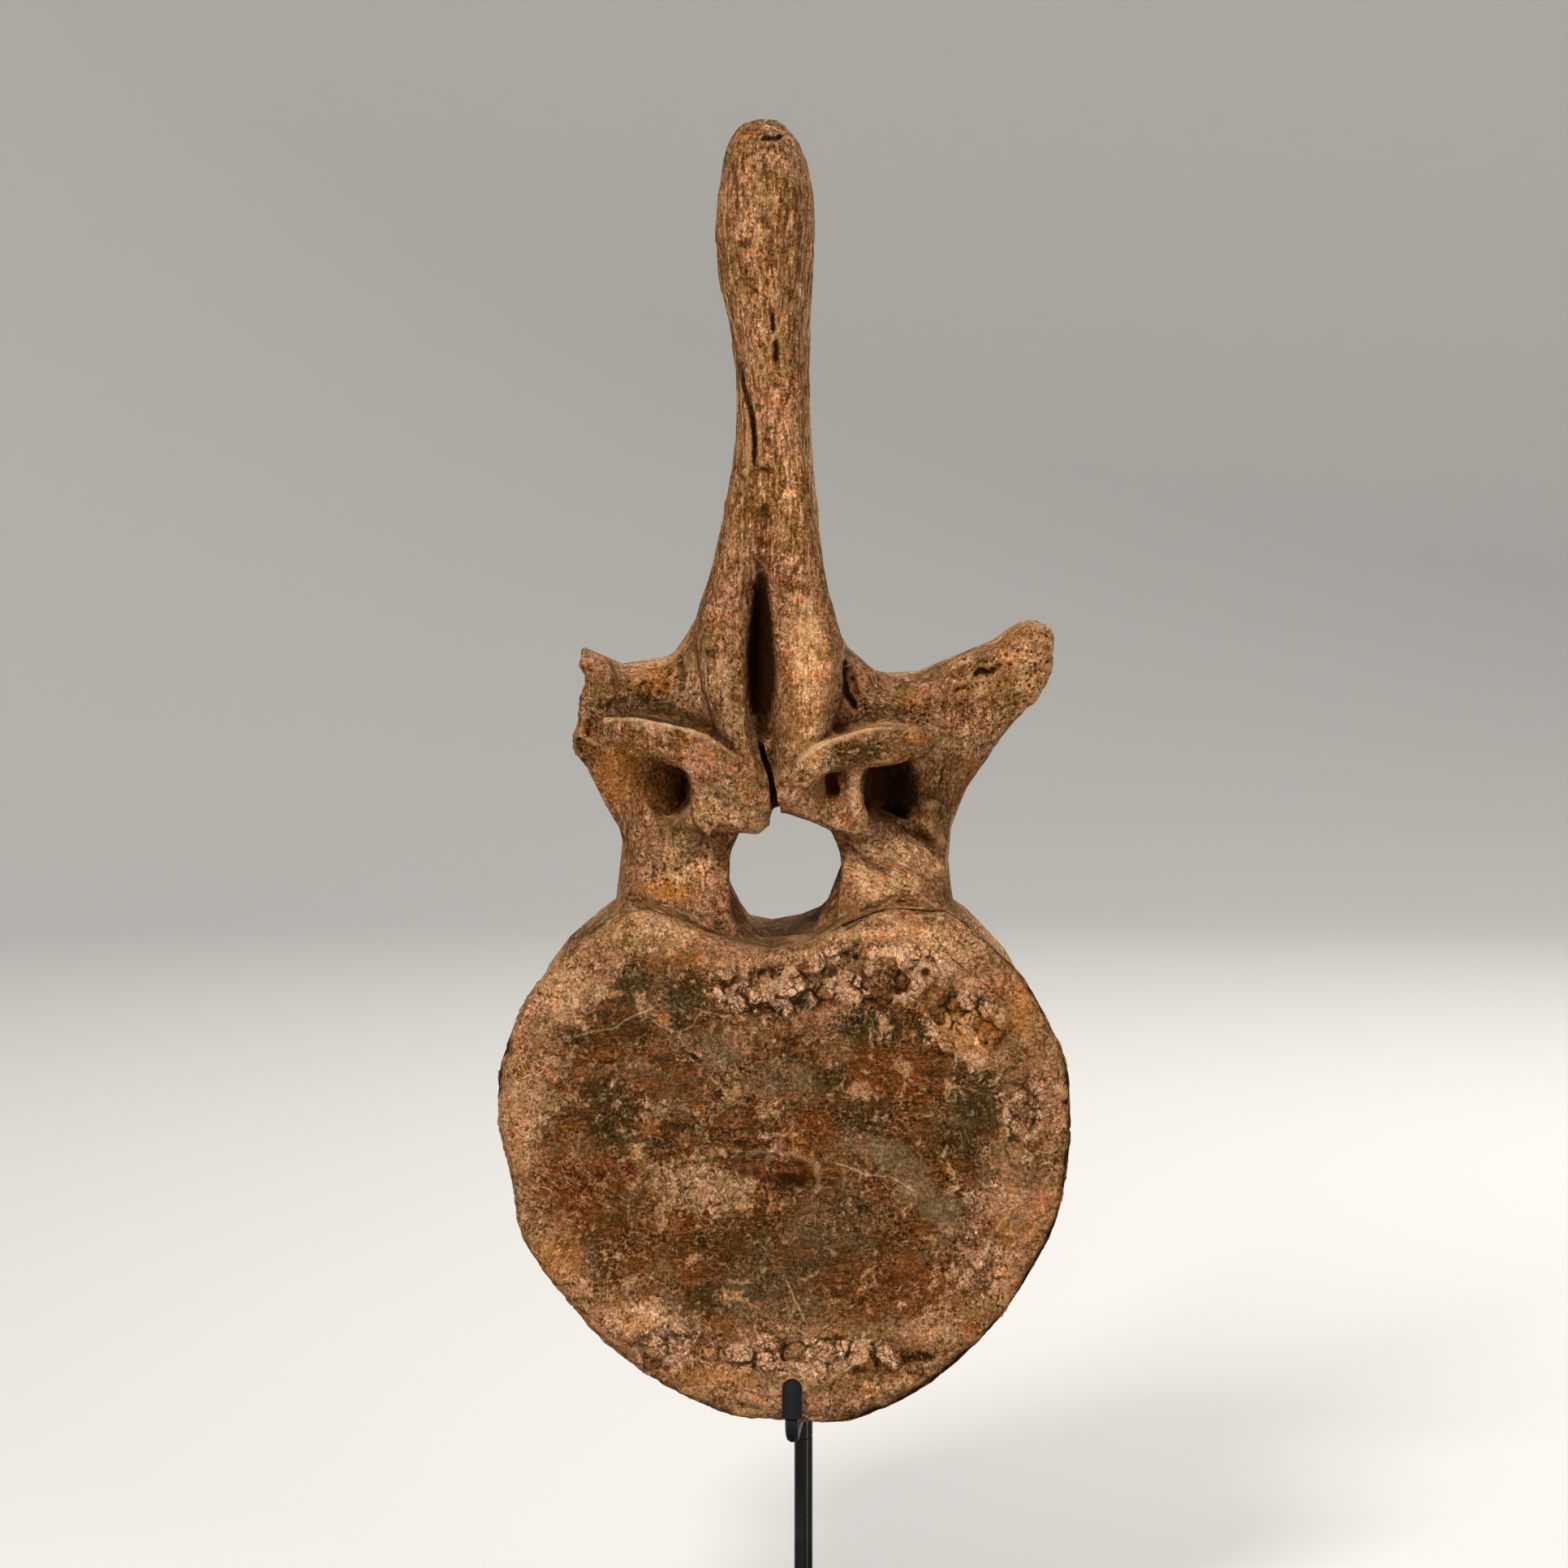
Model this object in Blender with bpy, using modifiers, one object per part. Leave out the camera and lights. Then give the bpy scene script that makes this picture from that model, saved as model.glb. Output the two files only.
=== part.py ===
"""A fossil dinosaur back vertebra on its rod mount, life size.

Metres, +Z up. The floor is z = 0 and the main rod stands on the Z axis. The rear of the
bone faces -Y, so "left" and "right" are a viewer's, looking along +Y at the rear face.
Sizes below are in millimetres and are turned into metres by MM.
"""

from math import copysign, cos, pi, sin

import bmesh
import bpy
from mathutils import Vector

MM = 0.001

# Fineness of the bone
FORM_VOXEL = 1.4
SMOOTH_FACTOR = 0.5
SMOOTH_ROUNDS = 3
BONE_TRIANGLES = 10600
RING_POINTS = 40
FLAT_ANGLE = pi / 7
FOLD_ANGLE = pi * 0.75
SEAM = 0.3

# Centrum, the drum of the vertebra: a heart-shaped outline seen from behind
CENTRUM_MIDDLE = (-6.1, 184.0)
CENTRUM_OUTLINE = (
    (-59.0, 267.2), (-51.0, 269.2), (-33.5, 261.2), (-19.4, 256.0), (-7.8, 254.6),
    (4.5, 257.6), (14.5, 263.6), (28.0, 268.2), (40.6, 267.6), (49.4, 266.6),
    (62.0, 256.2), (72.8, 245.4), (81.4, 230.4), (86.6, 219.4), (88.2, 208.0),
    (88.4, 189.0), (84.0, 164.6), (75.2, 147.2), (64.4, 130.9), (49.6, 116.0),
    (34.6, 105.4), (22.0, 99.8), (10.8, 97.2), (-11.0, 98.8), (-25.0, 100.2),
    (-38.2, 105.9), (-51.8, 114.0), (-66.4, 125.4), (-77.6, 138.4), (-86.6, 149.4),
    (-93.6, 163.4), (-95.4, 177.4), (-99.8, 196.6), (-99.8, 212.4), (-97.4, 221.8),
    (-92.4, 235.2), (-83.8, 247.4), (-71.4, 258.4),
)
# Along Y, with the share of the outline's width, of its height above the middle, and below
CENTRUM_GIRTHS = (
    (-46.0, 0.10, 0.10, 0.10), (-47.6, 0.45, 0.45, 0.45), (-51.0, 0.74, 0.74, 0.74),
    (-54.4, 0.87, 0.87, 0.87), (-56.0, 0.93, 0.935, 0.93), (-54.6, 0.98, 0.98, 0.975),
    (-50.0, 1.0, 1.0, 1.0), (-41.0, 0.98, 0.995, 0.985), (-26.0, 0.885, 0.99, 0.925),
    (-8.0, 0.80, 0.985, 0.875), (10.0, 0.785, 0.985, 0.865), (28.0, 0.84, 0.99, 0.90),
    (41.0, 0.925, 0.995, 0.955), (49.0, 0.955, 0.99, 0.975), (54.0, 0.94, 0.965, 0.955),
    (56.0, 0.88, 0.88, 0.89), (54.8, 0.70, 0.70, 0.70), (54.0, 0.40, 0.40, 0.40),
    (53.6, 0.10, 0.10, 0.10),
)

# Canal for the spinal cord: an oval mouth behind, boxier and wider in front
CANAL_REAR = (
    (-95, -23.9, 13.3, 255.4, 299.9), (-50, -23.9, 13.3, 255.4, 299.9),
    (0, -24.6, 13.6, 256.4, 299.9),
)
CANAL_FRONT = (
    (-20, -24.2, 13.6, 256.4, 299), (10, -24.8, 14.2, 257.4, 300), (95, -24.8, 14.2, 258, 300.6),
)
CANAL_FLOOR = (
    (-38, -21.0, 10.4, 256.6, 272), (-20, -24.6, 14, 257.0, 284), (10, -25.6, 15, 257.6, 286),
    (95, -25.6, 15, 258.0, 286),
)

# Every loft station: place along its axis, then low and high on the two other axes
PEDICLE_LEFT = (
    (240, -64, -16, -38, 42), (256, -63, -16, -37, 42), (269, -62, -16, -33, 38),
    (281, -60.4, -14, -30, 35), (291, -59.0, -14, -31.5, 36.5), (302, -58, -14, -35, 40),
)
PEDICLE_RIGHT = (
    (240, 6, 54, -38, 42), (256, 6, 52.6, -37, 42), (269, 5, 50.4, -33, 38),
    (281, 4, 49, -30, 35), (291, 4, 49.8, -31.5, 36.5), (302, 4, 50.6, -35, 40),
)
ARCH_ROOF = (
    (-54, -24, 28, 294, 338), (-40, -33, 36, 291, 344), (-22, -36, 40, 292, 348),
    (-6, -36, 41, 294, 350), (10, -36, 40, 292, 346), (28, -33, 36, 290, 341),
    (42, -24, 28, 294, 336),
)
SPINE = (
    (338, -38, 20, -42, 34), (350.7, -37, 14, -44, 33), (363, -34.4, 10.6, -45, 30),
    (376, -30.2, 7.6, -45, 27), (388, -26.8, 6.0, -45, 25), (407, -23.2, 4.0, -46, 21),
    (420, -21.8, 2.8, -47, 18), (441, -21.2, 2.7, -49, 15), (457, -23.4, 2.9, -52, 13),
    (472, -26.8, 3.4, -55, 12), (486, -28.4, 3.9, -58, 11), (500, -27.4, 3.7, -60, 9),
    (511, -25.6, 1.6, -60, 5), (518, -23.8, -1.4, -57, 0), (522.6, -20.8, -4.6, -50, -8),
    (524.8, -16.5, -8, -40, -20),
)
SHOULDER_LEFT = (
    (-45, -28, 20, 322, 346.0), (-38.6, -32, 24, 318, 353.5), (-33.6, -36, 26, 314, 362),
    (-29, -38, 26, 310, 376),
)
SHOULDER_RIGHT = (
    (3, -38, 26, 310, 370), (9.0, -36, 26, 312, 360), (15, -34, 24, 316, 350.4),
    (24, -30, 20, 320, 344),
)

# Columns that run down the back of the spine and close in on the cleft
COLUMN_LEFT = (
    (303, -14, -10.4, -58, -24), (309, -19, -10.6, -59, -20), (318, -24, -11.4, -58, -20),
    (329, -29, -13.6, -56.5, -20), (340, -33, -15.8, -55, -20), (354, -35, -17, -53, -20),
    (366, -32.4, -16.6, -51.5, -20), (378, -29.2, -14.6, -50, -20),
    (396, -24.8, -13, -48.4, -20), (412, -21.4, -13.4, -46.6, -24),
    (428, -18.6, -14.2, -44.4, -28),
)
COLUMN_RIGHT = (
    (303, -8.4, -4, -58, -24), (309, -8.4, 0, -59, -20), (318, -8.6, 6, -58, -20),
    (329, -9.8, 11, -56.5, -20), (340, -11.2, 14, -55, -20), (354, -11.6, 13.6, -53, -20),
    (366, -11.2, 10.4, -51.5, -20), (378, -10.8, 7.2, -50, -20),
    (396, -10.2, 4.6, -48.4, -20), (412, -9, 2.4, -46.6, -24), (428, -7, -1.5, -44.4, -28),
)

# Rear joint faces: bands that sweep from their outer tips down to the cleft.
# Every bar station: x and z of its middle, half its thickness, rear and front in Y
BAND_LEFT = (
    (-66.4, 327.4, 2.0, -52, -42), (-63.4, 327.0, 4.4, -58, -34), (-54.4, 326.0, 5.4, -61.5, -26),
    (-42.8, 322.6, 6.0, -62.5, -22), (-31.6, 317.0, 6.2, -62, -20),
    (-22.0, 310.2, 6.2, -61, -20), (-14.6, 303.4, 5.4, -59, -20), (-11.4, 300.2, 3.6, -57, -22),
)
BAND_RIGHT = (
    (44.4, 325.4, 2.0, -51, -42), (40.8, 323.8, 4.6, -57, -34), (30.4, 321.6, 6.4, -61.5, -26),
    (19.0, 320.4, 6.0, -62.5, -22), (9.6, 318.6, 5.4, -62, -20),
    (2.6, 315.0, 5.4, -61, -20), (-3.4, 309.0, 5.2, -60, -20), (-6.4, 303.6, 4.0, -58, -22),
)
BLOCK_LEFT = (
    (-36.0, -51, -20, 297.0, 318), (-33.0, -56, -20, 295.4, 318), (-26, -57, -20, 292.6, 316),
    (-19, -57.5, -20, 292.6, 312), (-14.0, -56, -20, 291.6, 306), (-9.6, -53, -22, 295.6, 303),
)
BLOCK_RIGHT = (
    (-7.6, -53, -22, 299.4, 306), (-3, -56, -20, 298.2, 312), (3, -54.5, -20, 296.4, 316),
    (8, -50, -20, 293.6, 317), (12, -45, -20, 291.0, 316),
)
STRUT_RIGHT = ((15.4, -53, -20, 296, 320), (19.6, -53, -20, 296, 320))

# Transverse processes: brackets with a broad top and a web below, broken at their ends
PROCESS_LEFT = (
    (-26, -32, 36, 284, 348), (-42, -33, 34, 282, 347), (-55, -34, 31, 284, 346),
    (-60.4, -34.5, 29, 288.6, 345), (-66, -35, 26, 299, 346), (-70.2, -35, 23, 307.6, 347.6),
    (-72.2, -34, 19, 312, 338), (-73.6, -33.5, 16, 315, 327.0), (-76.0, -33, 12, 317.4, 323.4),
)
PROCESS_LEFT_HORN = (
    (-62, -32, 0, 338, 346.5), (-69.0, -31, -3, 341.0, 350.2), (-73.4, -28, -8, 345.4, 352.4),
)
PROCESS_RIGHT = (
    (12, -32, 36, 286, 344), (31, -32, 34, 281, 341), (40, -32.5, 32, 280, 342),
    (47, -33, 29, 283, 345.6), (53, -34, 26, 298.4, 348.6), (59, -35.5, 21, 309.6, 351.0),
    (65, -37, 16, 319, 353.8), (70, -38, 13, 325.4, 358.6), (76, -39, 8, 332, 360.6),
    (81.4, -38.5, 3, 339.6, 359.2), (83.2, -37, 1, 343.4, 358.0),
)
WEB_WIDTH_SHARE = 0.34

# Front joint faces, on the far side: tilted plates on stalks that reach forward
PLATE_LEFT = (
    (-12.4, 305.0, 3.4, 18, 58), (-17.4, 308.6, 5.2, 18, 67), (-27.4, 317.0, 5.8, 18, 71),
    (-36.0, 325.4, 5.0, 18, 66), (-39.4, 329.4, 2.8, 20, 58),
)
PLATE_RIGHT = (
    (1.0, 305.0, 3.4, 18, 58), (6.0, 308.6, 5.2, 18, 67), (16.0, 317.0, 5.8, 18, 71),
    (24.6, 325.4, 5.0, 18, 66), (28.0, 329.4, 2.8, 20, 58),
)
STALK_LEFT = ((16, -46, -18, 292, 326), (36, -43, -19, 295, 321), (54, -38, -22, 300, 316))
STALK_RIGHT = ((16, 6.4, 34.4, 292, 326), (36, 7.4, 31.4, 295, 321), (54, 10.4, 26.4, 300, 316))
RIB_FACET_HEIGHT = 302.0
RIB_FACET_DEPTH = 22.0
RIB_FACET_RADII = (5.0, 12.0, 9.0)
RIB_FACET_SIDES = (-56.0, 47.4)

# Hollows: middle, half sizes
GROOVE_BEHIND_SPINE = ((-14.2, -59.0, 349.0), (4.8, 28.0, 33.0))
GROOVE_FOOT = ((-12.2, -60.0, 324.0), (3.4, 14.0, 18.0))
HOLLOW_LEFT = ((-43.6, -36.0, 306.0), (8.8, 22.0, 11.0))
HOLLOW_RIGHT = ((29.6, -36.0, 305.0), (10.4, 24.0, 13.4))
HOLLOW_RIGHT_TAIL = ((36.0, -36.0, 293.0), (8.0, 12.0, 11.0))
HOLLOW_RIGHT_SMALL = ((11.4, -42.0, 309.0), (4.4, 20.0, 6.0))
HOLLOW_FRONT = ((-5.8, 54.0, 322.0), (9.0, 24.0, 20.0))
PROCESS_HOLLOW_RIGHT = ((53.0, -46.0, 322.0), (17.0, 14.0, 15.0))
PROCESS_HOLLOW_LEFT = ((-60.0, -44.0, 312.0), (13.0, 12.0, 14.0))

CLEFT_X = (-10.3, -8.5)
CLEFT_Y = (-80.0, -24.0)
CLEFT_Z = (280.0, 318.5)

# Planes that part the bone into its named pieces
CENTRUM_TOP = 269.2
PEDICLE_TOP = 292.4
ARCH_TOP = 345.0
REAR_PLANE = -36.0
FRONT_PLANE = 38.0
SIDE_LEFT = -38.0
SIDE_RIGHT = 24.0
CANAL_PLANE = -5.3
FAR = 400.0

# Stand
BASE_WIDTH = 240.0
BASE_DEPTH = 200.0
BASE_HEIGHT = 12.0
BASE_EDGE = 1.2
COLLAR_RADIUS = 11.0
COLLAR_HEIGHT = 8.0
COLLAR_EDGE = 1.2
ROD_RADIUS = 2.3
ROD_BACK_PLACE = (1.6, 4.7)
ARM_HEIGHT = 94.2
ARM_BEND = 7.0
ARM_TOP_DROP = 12.0
SLEEVE_RADIUS = 3.3
FRONT_PRONG_PLACE = (-3.2, -60.0)
FRONT_PRONG_TOP = 114.4
BACK_PRONG_PLACES = {"left": (-22.0, 60.2), "right": (14.0, 60.2)}
BACK_PRONG_TOP = 124.0
BRANCH_SIDE = 3.0
BRANCH_DEPTH = 14.0

# Fineness of round and worn things
BODY_TURN_STEPS = 28
BODY_RISE_STEPS = 18
COLLAR_STEPS = 32
BEVEL_STEPS = 2
TUBE_STEPS = 3
BEND_STEPS = 5
SLEEVE_TURN_STEPS = 14
SLEEVE_TOP_STEPS = 5
MERGE_DISTANCE = 0.01
CRISP_ANGLE = pi / 5

STEEL_ROUGHNESS = 0.45
STEEL_METALLIC = 0.6
RUBBER_ROUGHNESS = 0.7
BONE_ROUGHNESS = 0.8

BONE_COLOUR = (0.42, 0.22, 0.12, 1.0)
STEEL_COLOUR = (0.012, 0.012, 0.013, 1.0)
RUBBER_COLOUR = (0.02, 0.02, 0.02, 1.0)


def clear_scene():
    for old in list(bpy.data.objects):
        bpy.data.objects.remove(old, do_unlink=True)


def new_collection(name):
    collection = bpy.data.collections.new(name)
    bpy.context.scene.collection.children.link(collection)
    return collection


def new_object(name, shape, collection):
    mesh = bpy.data.meshes.new(name)
    shape.to_mesh(mesh)
    shape.free()
    piece = bpy.data.objects.new(name, mesh)
    collection.objects.link(piece)
    return piece


def material(name, colour, roughness, metallic):
    finish = bpy.data.materials.new(name)
    finish.use_nodes = True
    shader = finish.node_tree.nodes["Principled BSDF"]
    shader.inputs["Base Color"].default_value = colour
    shader.inputs["Roughness"].default_value = roughness
    shader.inputs["Metallic"].default_value = metallic
    return finish


def bake_modifiers(piece):
    """The piece's mesh becomes what its modifiers make of it."""
    graph = bpy.context.evaluated_depsgraph_get()
    shaped = bpy.data.meshes.new_from_object(piece.evaluated_get(graph))
    piece.modifiers.clear()
    piece.data = shaped


# Lofts

def loft(rings):
    """A closed body through rings of equal count, in order."""
    shape = bmesh.new()
    rows = [[shape.verts.new(Vector(point) * MM) for point in ring] for ring in rings]
    count = len(rows[0])
    for row, following in zip(rows, rows[1:]):
        for i in range(count):
            j = (i + 1) % count
            shape.faces.new((row[i], row[j], following[j], following[i]))
    shape.faces.new(rows[0])
    shape.faces.new(rows[-1])
    bmesh.ops.recalc_face_normals(shape, faces=shape.faces)
    return shape


def rounded_ring(low_u, high_u, low_v, high_v, squareness, foot_share):
    """A squarish oval as (u, v) pairs, narrowed in u towards its foot."""
    points = []
    for i in range(RING_POINTS):
        turn = 2 * pi * i / RING_POINTS
        across = copysign(abs(cos(turn)) ** (2 / squareness), cos(turn))
        along = copysign(abs(sin(turn)) ** (2 / squareness), sin(turn))
        width = foot_share + (1 - foot_share) * (along + 1) / 2
        u = (low_u + high_u) / 2 + across * width * (high_u - low_u) / 2
        v = (low_v + high_v) / 2 + along * (high_v - low_v) / 2
        points.append((u, v))
    return points


def axis_loft(axis, stations, squareness=2.6, foot_share=1.0):
    """A body along X, Y or Z through squarish ovals at the stations."""
    rings = []
    for place, low_u, high_u, low_v, high_v in stations:
        ring = rounded_ring(low_u, high_u, low_v, high_v, squareness, foot_share)
        if axis == "X":
            rings.append([(place, u, v) for u, v in ring])
        elif axis == "Y":
            rings.append([(u, place, v) for u, v in ring])
        else:
            rings.append([(u, v, place) for u, v in ring])
    return loft(rings)


def smooth_outline(corners, steps):
    """A closed curve through the corners, as (x, z) pairs."""
    curve = []
    count = len(corners)
    for i in range(count):
        before, start, end, after = (corners[(i + k) % count] for k in (-1, 0, 1, 2))
        for step in range(steps):
            t = step / steps
            point = []
            for a, b, c, d in zip(before, start, end, after):
                point.append(
                    0.5 * (2 * b + (c - a) * t + (2 * a - 5 * b + 4 * c - d) * t * t
                           + (3 * b - a - 3 * c + d) * t ** 3)
                )
            curve.append(point)
    return curve


def ellipsoid(middle, radii):
    shape = bmesh.new()
    bmesh.ops.create_uvsphere(shape, u_segments=BODY_TURN_STEPS, v_segments=BODY_RISE_STEPS, radius=1.0)
    bmesh.ops.scale(shape, verts=shape.verts, vec=Vector(radii) * MM)
    bmesh.ops.translate(shape, verts=shape.verts, vec=Vector(middle) * MM)
    return shape


def block(low, high):
    shape = bmesh.new()
    bmesh.ops.create_cube(shape, size=1.0)
    size = Vector(high) - Vector(low)
    bmesh.ops.scale(shape, verts=shape.verts, vec=size * MM)
    bmesh.ops.translate(shape, verts=shape.verts, vec=(Vector(low) + size / 2) * MM)
    return shape


# The bone

def centrum_form():
    """The drum: waisted at its sides and belly, dished behind, nearly flat in front."""
    outline = smooth_outline(CENTRUM_OUTLINE, 3)
    middle_x, middle_z = CENTRUM_MIDDLE
    rings = []
    for y, width_share, top_share, belly_share in CENTRUM_GIRTHS:
        ring = []
        for x, z in outline:
            height_share = top_share if z > middle_z else belly_share
            side = (x - middle_x) * width_share
            ring.append((middle_x + side, y, middle_z + (z - middle_z) * height_share))
        rings.append(ring)
    return loft(rings)


def swept_bar(stations, squareness=5.0):
    """A bar whose middle runs along a curve in the XZ plane, square to its run."""
    middles = [Vector((x, 0, z)) for x, z, half, rear, front in stations]
    rings = []
    for i, (x, z, half, rear, front) in enumerate(stations):
        run = middles[min(i + 1, len(middles) - 1)] - middles[max(i - 1, 0)]
        across = Vector((-run.z, 0, run.x)).normalized()
        ring = []
        for y, offset in rounded_ring(rear, front, -half, half, squareness, 1.0):
            ring.append(Vector((x, y, z)) + across * offset)
        rings.append(ring)
    return loft(rings)


def main_forms():
    """The forms that the hollows are cut from, each sunk into its neighbours."""
    forms = [centrum_form()]
    for stations in (PEDICLE_LEFT, PEDICLE_RIGHT):
        forms.append(axis_loft("Z", stations, squareness=3.0))
    forms.append(axis_loft("X", ARCH_ROOF, squareness=2.8))
    forms.append(axis_loft("Z", SPINE, squareness=2.3))
    for stations in (SHOULDER_LEFT, SHOULDER_RIGHT):
        forms.append(axis_loft("X", stations))
    for stations in (COLUMN_LEFT, COLUMN_RIGHT):
        forms.append(axis_loft("Z", stations))
    for stations in (PROCESS_LEFT, PROCESS_RIGHT):
        forms.append(axis_loft("X", stations, 2.8, WEB_WIDTH_SHARE))
    forms.append(axis_loft("X", PROCESS_LEFT_HORN))
    for stations in (STALK_LEFT, STALK_RIGHT):
        forms.append(axis_loft("Y", stations))
    for x in RIB_FACET_SIDES:
        forms.append(ellipsoid((x, RIB_FACET_DEPTH, RIB_FACET_HEIGHT), RIB_FACET_RADII))
    return forms


def joint_face_forms():
    """The forms that overhang the hollows, front and rear."""
    forms = []
    for stations in (BAND_LEFT, BAND_RIGHT, PLATE_LEFT, PLATE_RIGHT):
        forms.append(swept_bar(stations))
    for stations in (BLOCK_LEFT, BLOCK_RIGHT, STRUT_RIGHT):
        forms.append(axis_loft("X", stations, squareness=4.0))
    return forms


def hollow_forms():
    """Everything cut out of the bone."""
    forms = [axis_loft("Y", stations, 2.1) for stations in (CANAL_REAR, CANAL_FRONT)]
    forms.append(axis_loft("Y", CANAL_FLOOR, 3.2))
    for middle, radii in (
        GROOVE_BEHIND_SPINE, GROOVE_FOOT, HOLLOW_LEFT, HOLLOW_RIGHT, HOLLOW_RIGHT_TAIL,
        HOLLOW_RIGHT_SMALL, HOLLOW_FRONT, PROCESS_HOLLOW_RIGHT, PROCESS_HOLLOW_LEFT,
    ):
        forms.append(ellipsoid(middle, radii))
    return forms


def voxel_skin(piece, size):
    """One even closed skin round everything in the piece."""
    remesh = piece.modifiers.new("skin", "REMESH")
    remesh.mode = "VOXEL"
    remesh.voxel_size = size * MM
    bake_modifiers(piece)


def joined(name, forms, collection):
    """All the forms in one mesh object."""
    whole = bmesh.new()
    for form in forms:
        mesh = bpy.data.meshes.new("form")
        form.to_mesh(mesh)
        form.free()
        whole.from_mesh(mesh)
        bpy.data.meshes.remove(mesh)
    return new_object(name, whole, collection)


def boolean(piece, other, operation):
    """Cut or cross the piece with the other object, for good."""
    cut = piece.modifiers.new(operation.lower(), "BOOLEAN")
    cut.operation = operation
    cut.object = other
    cut.solver = "EXACT"
    bake_modifiers(piece)


def keep_largest_body(piece):
    """Loose scraps and sealed hollows go, and only the largest closed surface stays."""
    shape = bmesh.new()
    shape.from_mesh(piece.data)
    unseen = set(shape.faces)
    bodies = []
    while unseen:
        reached = [unseen.pop()]
        body = []
        while reached:
            face = reached.pop()
            body.append(face)
            for edge in face.edges:
                for other in edge.link_faces:
                    if other in unseen:
                        unseen.remove(other)
                        reached.append(other)
        bodies.append(body)
    bodies.sort(key=lambda faces: sum(face.calc_area() for face in faces))
    scraps = [face for body in bodies[:-1] for face in body]
    bmesh.ops.delete(shape, geom=scraps, context="FACES")
    bmesh.ops.triangulate(shape, faces=shape.faces)
    shape.to_mesh(piece.data)
    shape.free()


def unfold(piece):
    """Slivers that lie folded over on nearly flat ground are turned into even triangles."""
    shape = bmesh.new()
    shape.from_mesh(piece.data)
    for method in ("AREA", "ANGLE"):
        flat = [
            edge for edge in shape.edges
            if edge.is_manifold and edge.calc_face_angle(0.0) < FLAT_ANGLE
        ]
        bmesh.ops.beautify_fill(shape, faces=shape.faces, edges=flat, method=method)
    folded = [
        edge for edge in shape.edges
        if edge.is_manifold and edge.calc_face_angle(0.0) > FOLD_ANGLE
    ]
    bmesh.ops.rotate_edges(shape, edges=folded, use_ccw=False)
    shape.to_mesh(piece.data)
    shape.free()


def whole_bone(cutters):
    """The bone in one body: forms joined, hollows cut, joint faces set on, edges worn."""
    body = joined("body", main_forms(), cutters)
    voxel_skin(body, FORM_VOXEL)
    hollows = joined("hollows", hollow_forms(), cutters)
    voxel_skin(hollows, FORM_VOXEL)
    boolean(body, hollows, "DIFFERENCE")
    hollowed = bmesh.new()
    hollowed.from_mesh(body.data)
    bone = joined("bone", [hollowed] + joint_face_forms(), cutters)
    voxel_skin(bone, FORM_VOXEL)
    worn = bone.modifiers.new("worn", "SMOOTH")
    worn.factor = SMOOTH_FACTOR
    worn.iterations = SMOOTH_ROUNDS
    bake_modifiers(bone)
    cleft = new_object("cleft", block(*zip(CLEFT_X, CLEFT_Y, CLEFT_Z)), cutters)
    boolean(bone, cleft, "DIFFERENCE")
    keep_largest_body(bone)
    thin = bone.modifiers.new("thin", "DECIMATE")
    thin.ratio = BONE_TRIANGLES / len(bone.data.polygons)
    bake_modifiers(bone)
    unfold(bone)
    return bone


def piece_cells():
    """The room of each named piece: low corner and high corner."""
    canal = CANAL_PLANE
    cleft = sum(CLEFT_X) / 2
    low, high = -FAR, FAR
    cells = {
        "centrum": ((low, low, low), (high, high, CENTRUM_TOP)),
        "pedicle_left": ((low, low, CENTRUM_TOP), (canal, high, PEDICLE_TOP)),
        "pedicle_right": ((canal, low, CENTRUM_TOP), (high, high, PEDICLE_TOP)),
        "neural_arch": (
            (SIDE_LEFT, REAR_PLANE, PEDICLE_TOP), (SIDE_RIGHT, FRONT_PLANE, ARCH_TOP),
        ),
        "neural_spine": ((SIDE_LEFT, low, ARCH_TOP), (SIDE_RIGHT, high, 2 * high)),
        "transverse_process_left": (
            (low, REAR_PLANE, PEDICLE_TOP), (SIDE_LEFT, FRONT_PLANE, 2 * high),
        ),
        "transverse_process_right": (
            (SIDE_RIGHT, REAR_PLANE, PEDICLE_TOP), (high, FRONT_PLANE, 2 * high),
        ),
        "postzygapophysis_left": (
            (low, low, PEDICLE_TOP), (cleft, REAR_PLANE, ARCH_TOP),
        ),
        "postzygapophysis_right": (
            (cleft, low, PEDICLE_TOP), (high, REAR_PLANE, ARCH_TOP),
        ),
        "prezygapophysis_left": (
            (low, FRONT_PLANE, PEDICLE_TOP), (canal, high, ARCH_TOP),
        ),
        "prezygapophysis_right": (
            (canal, FRONT_PLANE, PEDICLE_TOP), (high, high, ARCH_TOP),
        ),
    }
    half = SEAM / 2
    for name, (corner, opposite) in cells.items():
        shrunk_low = tuple(value + half for value in corner)
        shrunk_high = tuple(value - half for value in opposite)
        cells[name] = (shrunk_low, shrunk_high)
    return cells


def part_bone(bone, finish, collection, cutters):
    """The whole bone parted into its named pieces by thin cuts."""
    for name, (low, high) in piece_cells().items():
        cell = new_object("cell_" + name, block(low, high), cutters)
        piece = bpy.data.objects.new(name, bone.data.copy())
        collection.objects.link(piece)
        boolean(piece, cell, "INTERSECT")
        keep_largest_body(piece)
        piece.data.materials.clear()
        piece.data.materials.append(finish)
        piece.data.shade_smooth()


# The stand

def bevelled(name, shape, width, finish, collection):
    piece = new_object(name, shape, collection)
    edge = piece.modifiers.new("edge", "BEVEL")
    edge.width = width * MM
    edge.segments = BEVEL_STEPS
    edge.limit_method = "ANGLE"
    bake_modifiers(piece)
    piece.data.materials.append(finish)
    return piece


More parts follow.
